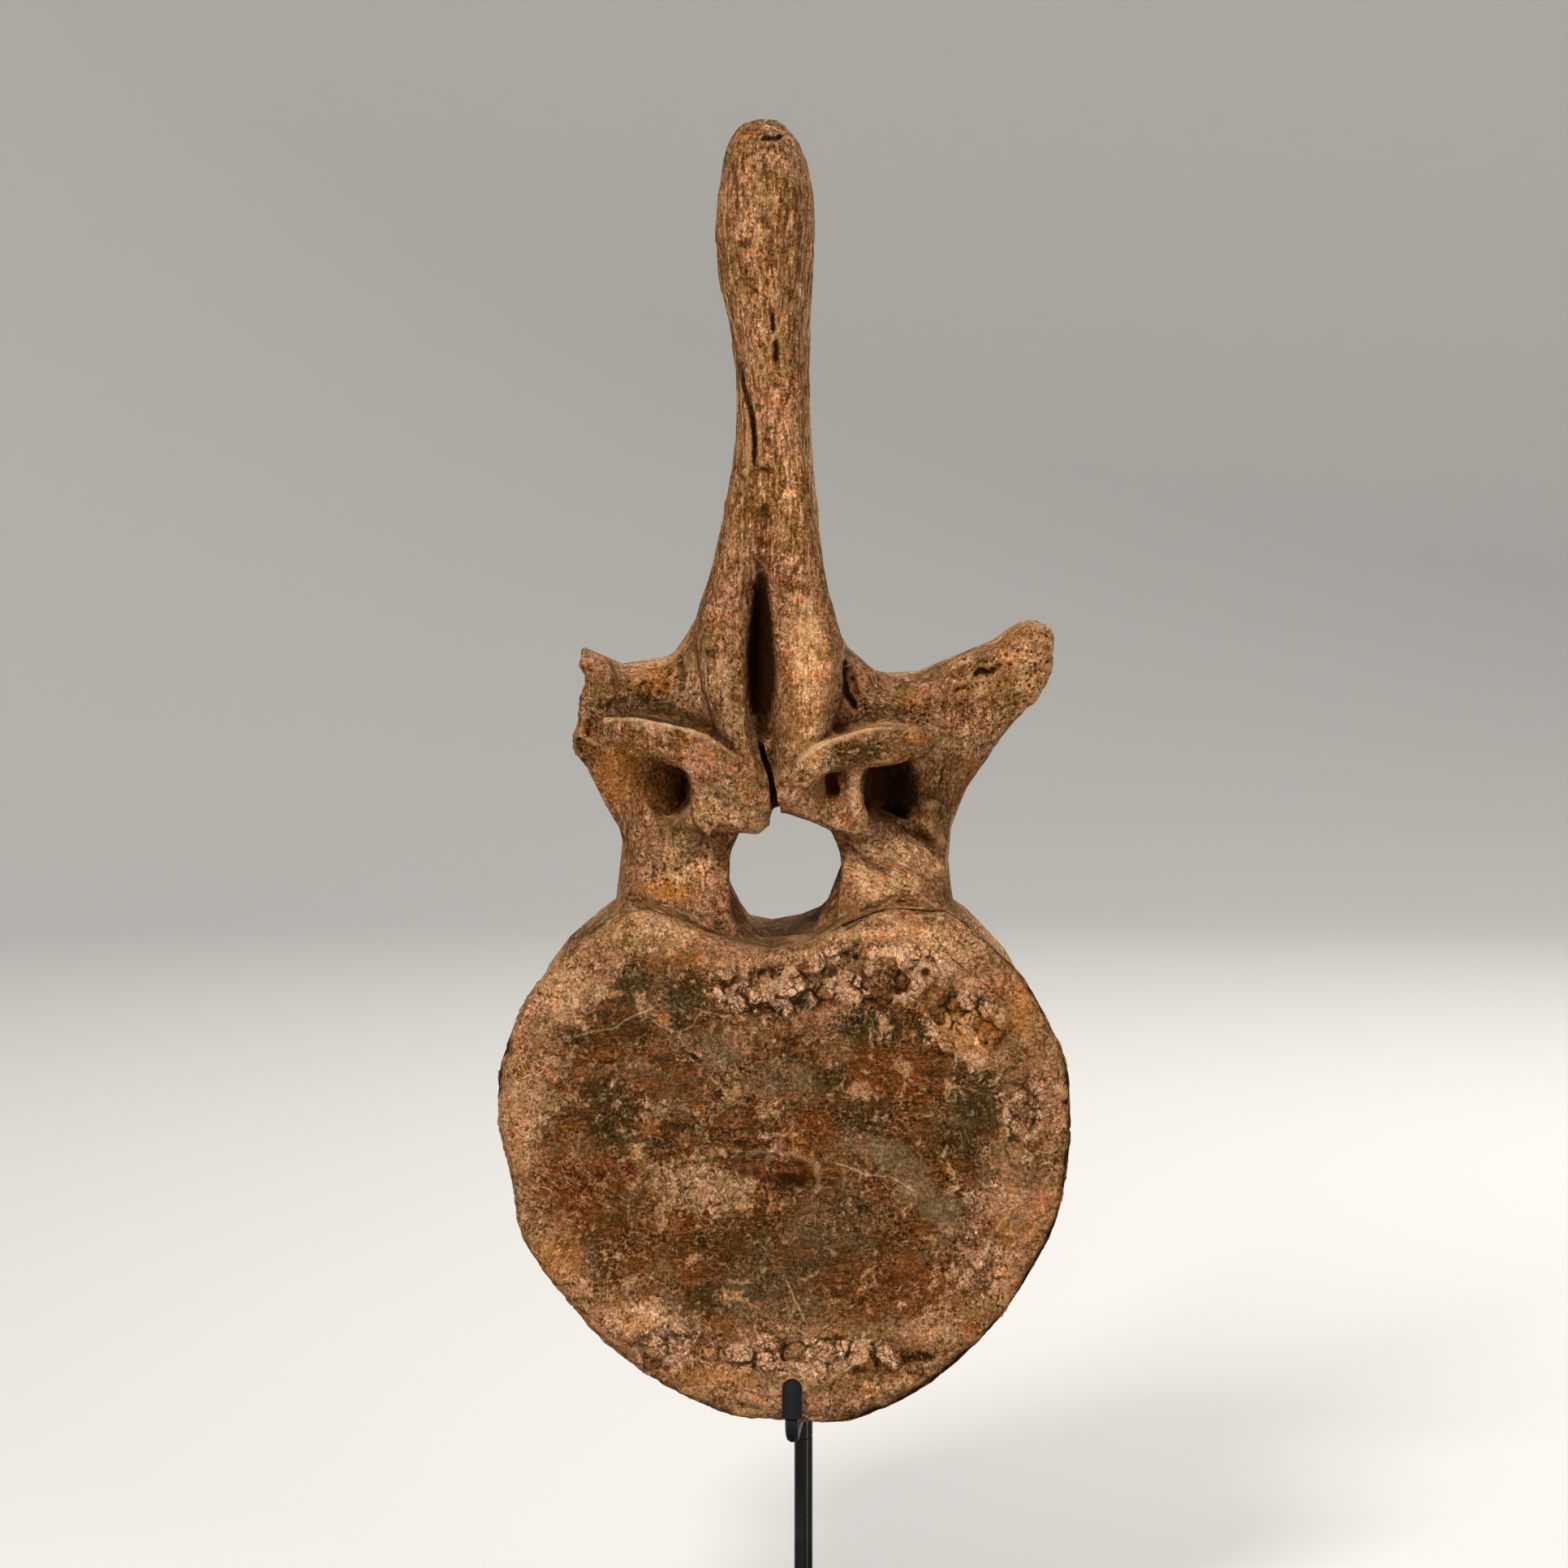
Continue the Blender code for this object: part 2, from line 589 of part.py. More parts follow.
def base_and_collar(finish, collection):
    half_width, half_depth = BASE_WIDTH / 2, BASE_DEPTH / 2
    plate = block((-half_width, -half_depth, 0), (half_width, half_depth, BASE_HEIGHT))
    bevelled("stand_base", plate, BASE_EDGE, finish, collection)
    ring = bmesh.new()
    bmesh.ops.create_cone(
        ring, cap_ends=True, segments=COLLAR_STEPS, radius1=COLLAR_RADIUS * MM,
        radius2=COLLAR_RADIUS * MM, depth=COLLAR_HEIGHT * MM,
    )
    middle_height = BASE_HEIGHT + SEAM + COLLAR_HEIGHT / 2
    bmesh.ops.translate(ring, verts=ring.verts, vec=Vector((0, 0, middle_height)) * MM)
    collar = bevelled("stand_collar", ring, COLLAR_EDGE, finish, collection)
    collar.data.shade_smooth()
    collar.data.set_sharp_from_angle(angle=CRISP_ANGLE)


def tube(name, points, radius, finish, collection):
    """A round rod along the points, as one closed mesh."""
    curve = bpy.data.curves.new(name, "CURVE")
    curve.dimensions = "3D"
    curve.bevel_depth = radius * MM
    curve.bevel_resolution = TUBE_STEPS
    curve.use_fill_caps = True
    spline = curve.splines.new("POLY")
    spline.points.add(len(points) - 1)
    for place, point in zip(spline.points, points):
        place.co = (*(Vector(point) * MM), 1.0)
    route = bpy.data.objects.new(name + "_route", curve)
    collection.objects.link(route)
    graph = bpy.context.evaluated_depsgraph_get()
    mesh = bpy.data.meshes.new_from_object(route.evaluated_get(graph))
    shape = bmesh.new()
    shape.from_mesh(mesh)
    bmesh.ops.remove_doubles(shape, verts=shape.verts, dist=MERGE_DISTANCE * MM)
    bmesh.ops.recalc_face_normals(shape, faces=shape.faces)
    bpy.data.objects.remove(route)
    piece = new_object(name, shape, collection)
    piece.data.materials.append(finish)
    piece.data.shade_smooth()
    piece.data.set_sharp_from_angle(angle=CRISP_ANGLE)
    return piece


def bend(corner, towards_start, towards_end):
    """Points round a right-angled bend at the corner."""
    middle = corner + ARM_BEND * (towards_start + towards_end)
    points = []
    for step in range(BEND_STEPS + 1):
        turn = pi / 2 * step / BEND_STEPS
        away = towards_start * sin(turn) + towards_end * cos(turn)
        points.append(middle - ARM_BEND * away)
    return points


def arm_route(foot, prong):
    """From the top of a rod, over to below the prong and up its first bend."""
    up = Vector((0, 0, 1))
    start = Vector((*foot, ARM_HEIGHT))
    end = Vector((*prong, ARM_HEIGHT))
    out = (end - start).normalized()
    first = [start - up * (ARM_TOP_DROP - SEAM)]
    return first + bend(start, -up, out) + bend(end, -out, up)


def sleeve(name, place, bottom, top, finish, collection):
    """A capped rubber sleeve on the end of a prong, round at the top."""
    shape = bmesh.new()
    profile = [(0.0, bottom), (SLEEVE_RADIUS, bottom)]
    for step in range(SLEEVE_TOP_STEPS):
        turn = pi / 2 * step / SLEEVE_TOP_STEPS
        profile.append(
            (SLEEVE_RADIUS * cos(turn), top - SLEEVE_RADIUS * (1 - sin(turn)))
        )
    profile.append((0.0, top))
    verts = [shape.verts.new(Vector((r, 0, z)) * MM) for r, z in profile]
    edges = [shape.edges.new(pair) for pair in zip(verts, verts[1:])]
    bmesh.ops.spin(
        shape, geom=verts + edges, cent=(0, 0, 0), axis=(0, 0, 1), angle=2 * pi,
        steps=SLEEVE_TURN_STEPS, use_merge=True,
    )
    bmesh.ops.remove_doubles(shape, verts=shape.verts, dist=MERGE_DISTANCE * MM)
    bmesh.ops.recalc_face_normals(shape, faces=shape.faces)
    bmesh.ops.translate(shape, verts=shape.verts, vec=Vector((*place, 0)) * MM)
    piece = new_object(name, shape, collection)
    piece.data.materials.append(finish)
    piece.data.shade_smooth()
    piece.data.set_sharp_from_angle(angle=CRISP_ANGLE)


def rods(steel, rubber, collection):
    """Two rods side by side, whose arms reach under the bone to three prongs."""
    foot = BASE_HEIGHT + COLLAR_HEIGHT + 2 * SEAM
    rod_top = ARM_HEIGHT - ARM_TOP_DROP
    sleeve_foot = ARM_HEIGHT + ARM_BEND + SEAM
    front_foot = (0.0, 0.0)
    for name, place in (("front", front_foot), ("back", ROD_BACK_PLACE)):
        ends = [(*place, foot), (*place, rod_top)]
        tube("stand_rod_" + name, ends, ROD_RADIUS, steel, collection)
    route = arm_route(front_foot, FRONT_PRONG_PLACE)
    tube("stand_arm_front", route, ROD_RADIUS, steel, collection)
    sleeve("stand_sleeve_front", FRONT_PRONG_PLACE, sleeve_foot, FRONT_PRONG_TOP,
           rubber, collection)
    for side, place in BACK_PRONG_PLACES.items():
        sleeve("stand_sleeve_back_" + side, place, sleeve_foot, BACK_PRONG_TOP,
               rubber, collection)
    route = arm_route(ROD_BACK_PLACE, BACK_PRONG_PLACES["right"])
    tube("stand_arm_back_right", route, ROD_RADIUS, steel, collection)
    end = Vector((*BACK_PRONG_PLACES["left"], ARM_HEIGHT))
    branch = Vector((ROD_BACK_PLACE[0] - BRANCH_SIDE, BRANCH_DEPTH, ARM_HEIGHT))
    out = (end - branch).normalized()
    route = [branch] + bend(end, -out, Vector((0, 0, 1)))
    tube("stand_arm_back_left", route, ROD_RADIUS, steel, collection)


def build():
    clear_scene()
    collection = new_collection("vertebra")
    cutters = new_collection("vertebra_cutters")
    bone_finish = material("fossil_bone", BONE_COLOUR, BONE_ROUGHNESS, 0.0)
    steel = material("black_steel", STEEL_COLOUR, STEEL_ROUGHNESS, STEEL_METALLIC)
    rubber = material("black_sleeve", RUBBER_COLOUR, RUBBER_ROUGHNESS, 0.0)
    bone = whole_bone(cutters)
    part_bone(bone, bone_finish, collection, cutters)
    base_and_collar(steel, collection)
    rods(steel, rubber, collection)
    for cutter in cutters.objects:
        cutter.hide_render = True
        cutter.display_type = "WIRE"


build()
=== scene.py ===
"""A fossil dinosaur back vertebra on its rod mount: its looks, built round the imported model.

Sizes and places are in millimetres, and MM turns them into metres. The rear of the bone faces
-Y and the camera, so "left" and "right" are the viewer's. Lines and patches on the rear are
given as (x, z) pairs, as they are seen from there. A soft edge is a pair too: the values at
which something is 0 and 1.
"""

from math import cos, pi, radians, sin

import bmesh
import bpy
import numpy as np
from mathutils import Matrix, Vector, noise


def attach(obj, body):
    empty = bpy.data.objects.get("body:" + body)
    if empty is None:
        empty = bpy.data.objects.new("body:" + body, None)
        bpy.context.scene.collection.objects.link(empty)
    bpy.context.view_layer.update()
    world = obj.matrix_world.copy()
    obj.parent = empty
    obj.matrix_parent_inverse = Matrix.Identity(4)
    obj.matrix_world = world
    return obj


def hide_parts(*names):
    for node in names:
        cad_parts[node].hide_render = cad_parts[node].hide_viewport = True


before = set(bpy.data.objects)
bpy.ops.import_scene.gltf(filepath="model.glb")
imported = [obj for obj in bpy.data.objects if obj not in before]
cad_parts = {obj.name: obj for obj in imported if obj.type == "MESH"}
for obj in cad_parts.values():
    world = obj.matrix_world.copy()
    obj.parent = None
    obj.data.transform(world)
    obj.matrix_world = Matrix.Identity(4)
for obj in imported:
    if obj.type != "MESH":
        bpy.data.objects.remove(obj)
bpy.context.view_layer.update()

MM = 0.001
WHOLE_MM = 1000.0
TINY = 1e-6
FAR = 1e6

BONE_NODES = (
    "centrum", "pedicle_left", "pedicle_right", "neural_arch", "neural_spine",
    "transverse_process_left", "transverse_process_right", "postzygapophysis_left",
    "postzygapophysis_right", "prezygapophysis_left", "prezygapophysis_right",
)

# Fineness of the bone's skin
SWELL = 0.3
VOXEL = 0.85
MERGE = 0.01
STRUT_SIDES = 14
SMOOTH_ROUNDS = 4
WORN_ROUNDS = 24
LAST_SMOOTH_ROUNDS = 1
BONE_TRIANGLES = 190000
DETAIL_WEIGHT = 0.35
FAINT = 0.02

# Soft edges of the bone's areas; a TURN is along Y of the unit normal
BEHIND = (4, 16)
REAR_TURN = (0.05, 0.45)
SIDE_TURN = (0.6, 0.2)
CARVED_TURN = (-0.1, 0.3)
DETAIL_BEHIND = (-10, 20)
DETAIL_TURN = (-0.2, 0.3)
FACE_PLACE = (40, 46)
CREST_PLACE = (48, 54)
WORN_PLACE = (4, 12)
PRONG_PLACE = (12, 26)
PRONG_FOOT = (284, 296)
PRONG_TOP = (356, 344)
DRUM_TOP = (268, 258)
ARCH_FOOT = (262, 272)
SPINE_FOOT = (350, 376)
SPINE_TIP = (512, 520)
BROKEN_ENDS = (((-68, -73), (296, 306)), ((72, 80), (312, 322)))
PATCH_EDGE = (1.35, 0.45)

# How much calmer relief and hollows get in an area, and how strong a mask is there
FACE_CALM = 0.5
FRONT_FLAKES = 0.7
FRONT_INNER = 0.9
TIP_PITS = 0.5
CREST_PALE = 0.32
SIDE_CALM = 0.8
AWAY_CALM = 0.85

# The open cleft between the rear joint faces, from its top down to the canal
CLEFT_LINE = (
    (-13.4, 322), (-12.4, 317.6), (-10.4, 312.3), (-9.3, 307), (-9, 302.7), (-7.9, 297),
)
CLEFT_WIDTHS = (1.6, 1.9, 1.6, 1.7, 1.9, 2.6)
CLEFT_REAR = -75.0
CLEFT_FRONT = -26.0

# Struts and ridges over the solids: a row of points (x, y, z) with the radius at each
STRUTS = (
    # upright wall below the right joint face, and the floor beside it
    ((17, -54, 316, 4.8), (17.4, -50.8, 309, 2.8), (17.8, -48.8, 302, 3),
     (18.2, -44.4, 296.6, 4.6), (20.6, -37.4, 291, 5.6), (26, -31.6, 284.6, 5.6)),
    ((14.2, -49.4, 314, 2.9), (14, -48.8, 306, 2.8), (14.6, -47.4, 299, 3.4)),
    ((9.4, -47.4, 298.6, 3), (15, -43.8, 295.6, 3.8)),
    # upper rims of the rear joint faces
    ((-64, -56.6, 330.2, 1.5), (-54.4, -59, 330.1, 1.6), (-47.8, -59.8, 328.9, 1.7),
     (-41.2, -60.2, 327.4, 1.8), (-35.2, -60.2, 325.7, 1.9), (-29.9, -59.8, 323.6, 1.9),
     (-24.6, -58.8, 320.4, 1.8), (-19.3, -57.4, 315.8, 1.6)),
    ((-1.4, -58.8, 316.2, 1.3), (3.2, -59.8, 319.8, 1.5), (8.5, -60.4, 322.7, 1.6),
     (15.1, -60.4, 325, 1.6), (20.4, -60.4, 326.5, 1.6), (27.1, -60, 327.2, 1.6),
     (32.4, -59.2, 327.5, 1.6), (38, -57.4, 327.4, 1.4)),
    # shallower floor of the left hollow
    ((-47.6, -18.8, 312, 7), (-47, -19, 306, 7.2), (-46.4, -18.8, 300, 7)),
    ((-40.6, -13.8, 311, 5), (-40.4, -13.8, 306, 5), (-40.2, -14, 301.6, 5)),
    # broad ridge from the roof of the canal out over the right foot, and a thin one above it
    ((3.2, -51, 301, 2.6), (11, -45, 298.4, 3.8), (17.6, -39, 295.6, 5), (24, -31.6, 289.6, 6.2),
     (34, -28, 283.2, 6.6), (44, -24, 277.6, 4.6)),
    ((18.4, -42, 300, 2.8), (26, -32, 295.6, 4), (35, -26, 291, 4.4), (45, -22.8, 286.6, 3.6)),
    # left edge of the block below the left joint face, and the ridge that leaves its foot
    ((-35.6, -58.4, 314, 2.4), (-34.4, -54.6, 307.4, 2), (-35, -53.4, 301.2, 2.1),
     (-33.6, -53.2, 297, 2.2), (-30.6, -53.2, 293.6, 2.2)),
    ((-34, -49, 299.4, 3.4), (-36.6, -36, 293.4, 5.6), (-41, -27.4, 285.4, 6),
     (-47.6, -24.6, 277, 4.4)),
    # lower lip of the left joint face
    ((-61, -54, 323.6, 2.2), (-55, -55.4, 320.4, 2.4), (-48.6, -56.8, 318.8, 2.4),
     (-41.6, -57.4, 316.8, 2.2)),
    # rough root of the left process, and the lip of its broken lower lobe
    ((-66.4, -25.6, 340, 3.6), (-57, -22, 340.2, 3.8), (-47.6, -24, 340.6, 3.4)),
    ((-74.4, -25.6, 324.4, 1.6), (-70, -28.4, 321.4, 1.9), (-65.8, -27.6, 319.6, 1.4)),
    # broken upper corner of the right process
    ((73, -27, 352.6, 4), (79.6, -26.6, 355.4, 2.6)),
    # lump beside the slit at the right foot of the spine
    ((17.6, -30, 346, 2), (20.2, -32.4, 340.4, 2.8), (22.6, -32.6, 334.6, 2.2)),
)

# Broad scoops, each a line on the rear, its half width and its depth
SCOOPS = (
    (((9.2, 311.2), (10.2, 306)), 2.7, 2.4),
    (((28, 298), (34, 293.6), (42, 288.4)), 3.4, 2.6),
    (((-27, 305), (-20, 300)), 6, 1.4),
    (((-38, 344), (-50, 338)), 6, 1.6),
    (((24, 338), (34, 334)), 5, 1.2),
    (((44, 330), (60, 332)), 6, 1.4),
    (((-13, 398), (-12.4, 388), (-12.4, 377)), 5, 1.3),
    (((-7.9, 442), (-8.9, 434), (-10.6, 420)), 3.4, 0.9),
    (((-18, 180.2), (-8, 178.6), (-1, 177.8)), 7.6, 4.8),
    (((-62, 200), (-58, 214)), 12, 0.8),
    (((28, 212), (50, 204)), 14, 0.8),
)

# Narrow furrows and slits, each a line on the rear, its half width and its depth
FURROWS = (
    # slit that runs down the left of the spine, and the crack at its foot
    (((-20.2, 445.6), (-19.6, 440.6), (-18.2, 435.2), (-16.2, 427.8), (-15.4, 419.9),
      (-15.6, 413)), 1.5, 2),
    (((-20.7, 409.7), (-18.2, 407.7), (-15.7, 411.1), (-13.2, 411.7), (-10.6, 410.8)), 0.9, 0.8),
    # short slits down the middle of the spine, and the hollow under its tip
    (((-9.5, 461), (-9.2, 456.6)), 1.2, 1.4),
    (((-8.3, 452.6), (-8.4, 447.2)), 1.5, 1.7),
    (((-13.4, 445), (-13.2, 444)), 1.2, 0.9),
    (((-12.6, 518.2), (-10.4, 518.7), (-8.4, 518.3), (-6.8, 519)), 1.1, 1.5),
    # slit at the right foot of the spine
    (((14.4, 347), (13.8, 342), (15, 337.6), (17.8, 332.8)), 1.7, 3),
    # upright crease beside the root of the left process
    (((-40.4, 349), (-40.2, 344), (-39.8, 338.6)), 1.5, 1.5),
    # pit and flaked hollows on the right process
    (((57.2, 343.2), (58.6, 344.8), (61.6, 344.2), (64.6, 346.6)), 1.7, 2.2),
    (((37, 342.4), (42, 341.8)), 1.4, 0.9),
    (((50.4, 337.8), (54.6, 340)), 1.3, 0.9),
    # suture between the drum and the feet of the arch
    (((-63, 269.4), (-55, 270.4), (-49.8, 269.4), (-41, 267), (-36.2, 265.2), (-26.3, 261.2)),
      1.5, 0.8),
    (((14.6, 262.4), (21.8, 267.4), (30.4, 270.6), (40.3, 270.6), (50, 268.6)), 1.5, 0.8),
    # nicks in the rim of the drum
    (((86, 204.6), (89, 203.4)), 1.3, 1.4),
    (((-100, 222.6), (-96.4, 221.4)), 2, 0.8),
    (((34, 119), (38.6, 120.6), (43, 119.6)), 1.8, 1.2),
    (((-20, 104.6), (-14, 103.4)), 1.7, 1),
)
FURROW_FLOOR = 0.2

# Ridges, each a line on the rear, its half width and its height
RIDGES = (
    (((-26.4, 349.4), (-25.6, 341), (-23, 333.4)), 2.4, 0.9),
    (((9.4, 352), (8.6, 341), (6, 331)), 2.4, 0.7),
    (((-27, 188), (-14, 187.6), (-4, 187), (4.6, 184), (5, 177), (0, 171), (-6, 169.6)),
      3.6, 1.1),
    (((-4.6, 426), (-4.4, 416), (-4.4, 407)), 1.6, 0.6),
    (((-23.4, 421), (-23.6, 408)), 1.6, 0.5),
    (((24, 286.4), (33, 281), (43, 276)), 1.1, 0.7),
    (((22, 292), (32, 286.6), (41, 281.6)), 1, 0.7),
)

# Crisp upper rims of the rear joint faces, from left to right, with the lip along each
RIMS = (
    ((-64, 331.6), (-54.4, 331.7), (-47.8, 330.6), (-41.2, 329.2), (-35.2, 327.6), (-29.9, 325.5),
     (-24.6, 322.1), (-19.3, 317.4)),
    ((-1.4, 317.4), (3.2, 321.2), (8.5, 324.2), (15.1, 326.6), (20.4, 328.1), (27.1, 328.8),
     (32.4, 329.1), (38, 328.8)),
)
RIM_LIP = 0.5
RIM_LIP_DROP = 2.0
RIM_STEP = 0.9

# How far each joint face leans in below its rim, and its soft edges along X, Y and downwards
FACE_TILTS = ((2.6, (-19, -26)), (4.2, (3, 12)))
JUTTING = (-46, -52)
TILT_DROP = (1.5, 11)

# Painted shade in the crease over each rim, whose reach grows with the depth behind the lip
CREASE_STRENGTHS = (1, 0.6)
CREASE_REACH = 0.6
CREASE_SLOPE = 0.0875
CREASE_BORDER = 1.6
CREASE_OVER = (-2, 0)
CREASE_PLACE = (-58, -55)
LIP_REAR = -57.0

# The painted highlight along the rims, which fades away from the middle of each
RIM_LINE_PLACE = (-54, -57)
RIMS_MIDDLE = -16.0
RIM_MIDDLE = 29.0
RIM_FADE = (17, 8)

# Patches on the rear: middle x and z, radius along x and z, and strength. First worn edges,
# the dark inner part of the drum's face, and the tones.
WORN = (
    (-44, 306, 14, 15, 1), (38, 303, 9, 16, 1), (-60, 340, 12, 6, 0.7), (22, 292, 12, 9, 0.9),
    (-42, 288, 10, 8, 0.7), (34, 282, 14, 9, 0.5), (-9, 385, 14, 10, 0.8), (-13, 323, 4, 4, 0.9),
)
INNER = (
    (-50, 218, 34, 31, 1), (-64, 192, 26, 34, 1), (-10, 190, 60, 46, 1), (30, 206, 34, 32, 1),
    (50, 190, 20, 34, 1), (-14, 160, 50, 36, 1), (26, 152, 32, 26, 1), (28, 226, 24, 15, 1),
    (-52, 160, 28, 24, 0.9), (-40, 238, 30, 12, 0.9),
)
STAINS = (
    (-10, 147, 20, 13, 0.5), (-4, 176.4, 6, 2.6, 0.9), (-47, 325, 18, 4.6, 0.78),
    (-55.4, 243.4, 7, 8.4, 1), (-37.8, 240, 8, 7, 0.9), (-40.5, 231.1, 3.4, 3, 1),
    (-75.6, 225.8, 6, 3.2, 1), (-65, 207.6, 8, 5.6, 1), (-62.6, 196, 10, 8, 0.9),
    (-37.8, 195.7, 5.6, 1.8, 1), (-40, 217.6, 10, 3.6, 0.6), (-45.3, 213.2, 3.4, 2.6, 0.7),
    (-61, 238, 12, 3, 0.5), (-8.8, 234.5, 10, 4.6, 0.8), (23.9, 228.7, 12, 6.8, 1),
    (41.1, 228.7, 7, 5, 1), (10.4, 212.4, 6, 5, 1), (58.4, 203.8, 12, 12, 0.95),
    (50.7, 192.2, 11.5, 6.6, 0.85), (20, 199, 12, 7.4, 0.7), (16.2, 169.2, 10, 4.4, 0.75),
    (-22, 158, 22, 8, 0.55), (14, 156, 22, 8, 0.5), (-31, 138.5, 10, 7, 0.75),
    (-4, 126, 9, 4, 0.6), (38.2, 120.3, 7, 2.2, 1), (31.5, 254.6, 6, 2.6, 0.9),
    (-60, 228, 14, 8, 0.5), (-46, 190.6, 6, 2, 0.7), (50, 238, 5, 4.4, 0.8),
    (-26, 104, 9, 3, 0.6), (14, 102, 14, 3, 0.7), (-22, 187, 5, 2, 0.5), (39, 343.4, 6, 2, 1),
    (-57, 335.4, 8, 1.6, 0.8), (17, 320.6, 11, 4.6, 0.96), (-40.4, 343, 1.6, 7, 0.8),
    (8, 317, 8, 3.4, 0.6), (-56, 320, 9, 2.6, 0.4), (60, 346, 4, 2.6, 0.8),
    (-12.6, 326.6, 3, 6, 0.6), (-30, 352, 3, 1.6, 0.8), (9, 356, 3, 8, 0.4),
)
GREYS = (
    (21, 190, 7, 4.6, 1), (28, 186.6, 8, 5.6, 1), (35, 181.6, 7, 4.6, 1), (38, 174.6, 8, 5.6, 1),
    (45.6, 169, 8, 6, 1), (50, 163, 6, 4, 0.9), (-12.6, 141.4, 20, 12, 0.55),
    (-5, 154, 26, 10, 0.4), (-5, 211, 14, 7.6, 0.7), (-48, 240, 16, 8, 0.6),
    (-30, 222, 13, 8, 0.7), (2, 134, 10, 10, 0.45), (-64, 214, 10, 3, 0.5),
)
RUSTS = (
    (-72, 178, 19, 9, 1), (-74, 168, 13, 7, 0.8), (3, 195.4, 12, 5, 1), (-8, 179, 11, 5.4, 1),
    (0.8, 179.8, 2.4, 4, 1), (35.4, 144.3, 21, 12, 0.7), (24, 214, 15, 10, 0.7),
    (-46, 212, 20, 7, 0.5), (77.2, 198.4, 1.8, 2.8, 1), (-20, 226, 16, 5, 0.5),
    (-34, 164, 20, 5, 0.6), (46, 182, 8, 3, 0.5), (-43.7, 307.5, 9, 11, 1),
    (19, 320, 11, 4.6, 0.9), (-45.6, 342, 9, 6, 0.5), (22, 340, 4.5, 7, 0.9),
    (37.6, 331, 7, 4.5, 0.8), (-24, 280, 4, 18, 0.8), (32, 308, 10, 12, 0.8),
    (12, 309, 4, 7, 0.8), (-8, 362, 10, 24, 0.5), (-54, 268, 9, 4, 0.5), (52, 330, 6, 14, 0.45),
    (-12.4, 384, 5, 14, 0.7), (16, 283, 3, 12, 0.6), (-26, 128, 9, 5, 0.5), (62, 160, 9, 9, 0.4),
    (0, 346, 8, 16, 0.35),
)
AMBERS = (
    (-45.7, 232.5, 3.4, 2.8, 0.5), (-50, 195.7, 4, 2.8, 0.35), (-34, 250.6, 13, 2.6, 0.4),
    (-4, 192, 6, 4, 0.7), (54.6, 227, 12, 10, 0.9), (73, 238, 7, 13, 0.6), (37, 333, 5, 4, 0.5),
    (38.4, 325, 5, 2.6, 0.8), (-71, 322, 4, 6, 0.6), (-61, 310, 11, 15, 0.6),
    (-46, 324, 18, 5, 0.5), (66, 152, 10, 14, 0.4), (-80, 148, 10, 16, 0.5),
    (-46, 272, 10, 4, 0.6), (-46, 341, 7, 5, 0.6), (-22, 518, 6, 6, 0.5), (-34, 114, 30, 5, 0.4),
)
# Pale patches of the bone's own tone; the strongest ones on the feet of the arch are also painted
# light, brightening the pedicles in the shade of the joint faces above
PALES = (
    (-73.2, 244.7, 5, 4.6, 1), (-66, 240.4, 2.8, 3.6, 0.9), (-52.6, 237, 2, 3, 0.7),
    (-33.6, 176.9, 19, 9, 0.75), (-14, 186.6, 22, 3, 0.45), (-10.7, 200, 6, 4, 0.8),
    (-47, 262, 17, 8, 0.66), (-77.9, 241, 8, 8.6, 0.8), (-6.9, 242.6, 20, 6.6, 0.9),
    (20, 254, 17, 9, 0.9), (52, 229, 8, 6, 0.6), (-90.3, 205, 6, 24, 0.5), (70, 194, 6, 20, 0.8),
    (-54.8, 132.6, 12, 6, 1), (4.7, 123.4, 24, 5, 0.8), (57, 146, 14, 4, 0.6),
    (42, 129, 8, 5, 0.6), (44, 252, 14, 6, 0.7), (62, 172, 10, 6, 0.5), (-62, 206, 3, 8, 0.3),
    (60, 222, 6, 4, 0.5), (-37.9, 282.6, 9, 9, 1), (30, 280, 18, 9, 1), (26, 276, 10, 7, 1),
    (36, 258, 16, 7, 0.7), (-4.4, 412, 1.8, 14, 0.9), (6, 322, 8, 10, 0.5),
    (-26, 343, 3.6, 10, 0.8), (-33, 343, 5.6, 8, 0.9), (76, 345, 7, 12, 0.6),
    (56, 322, 6, 8, 0.4), (-26, 303, 10, 7, 0.8), (-20, 458, 4, 16, 0.3), (2, 352, 5, 22, 0.7),
    (17.6, 305, 2.4, 9, 0.9), (66, 330, 4, 6, 0.5), (-9, 470, 5, 10, 0.4), (-64, 300, 4, 8, 0.4),
)
# Broken crust, pitted bone, streaked bone, paler bone that is partly bleached and partly painted
# light, and slanted streaks
FLAKED = (
    (-10, 241.6, 24, 9, 1), (24, 247, 26, 12, 1), (54, 228, 14, 15, 0.9), (72, 196, 9, 26, 0.6),
    (6, 120, 44, 8, 0.7), (-42, 122, 20, 10, 0.6), (-34, 175, 20, 9, 0.3), (58, 152, 14, 14, 0.5),
    (30, 142, 14, 10, 0.4), (-8, 192, 8, 12, 0.5),
)
PITTED = (
    (-46, 341, 14, 8, 1), (22, 339, 8, 10, 0.7), (66, 340, 20, 18, 0.7), (-38, 280, 14, 12, 0.6),
    (-74, 326, 8, 20, 0.9), (38, 330, 8, 6, 0.7), (-12, 516, 16, 9, 0.5), (82, 350, 8, 14, 0.9),
    (-28, 300, 9, 9, 0.4),
)
FIBROUS = (
    (-60, 308, 16, 26, 0.9), (-38, 278, 13, 17, 0.7), (32, 280, 24, 20, 1),
    (58, 322, 16, 26, 0.6), (-28, 343, 9, 16, 0.7), (1, 340, 11, 22, 0.5),
    (-70, 176, 22, 13, 0.8), (46, 300, 8, 16, 0.7),
)
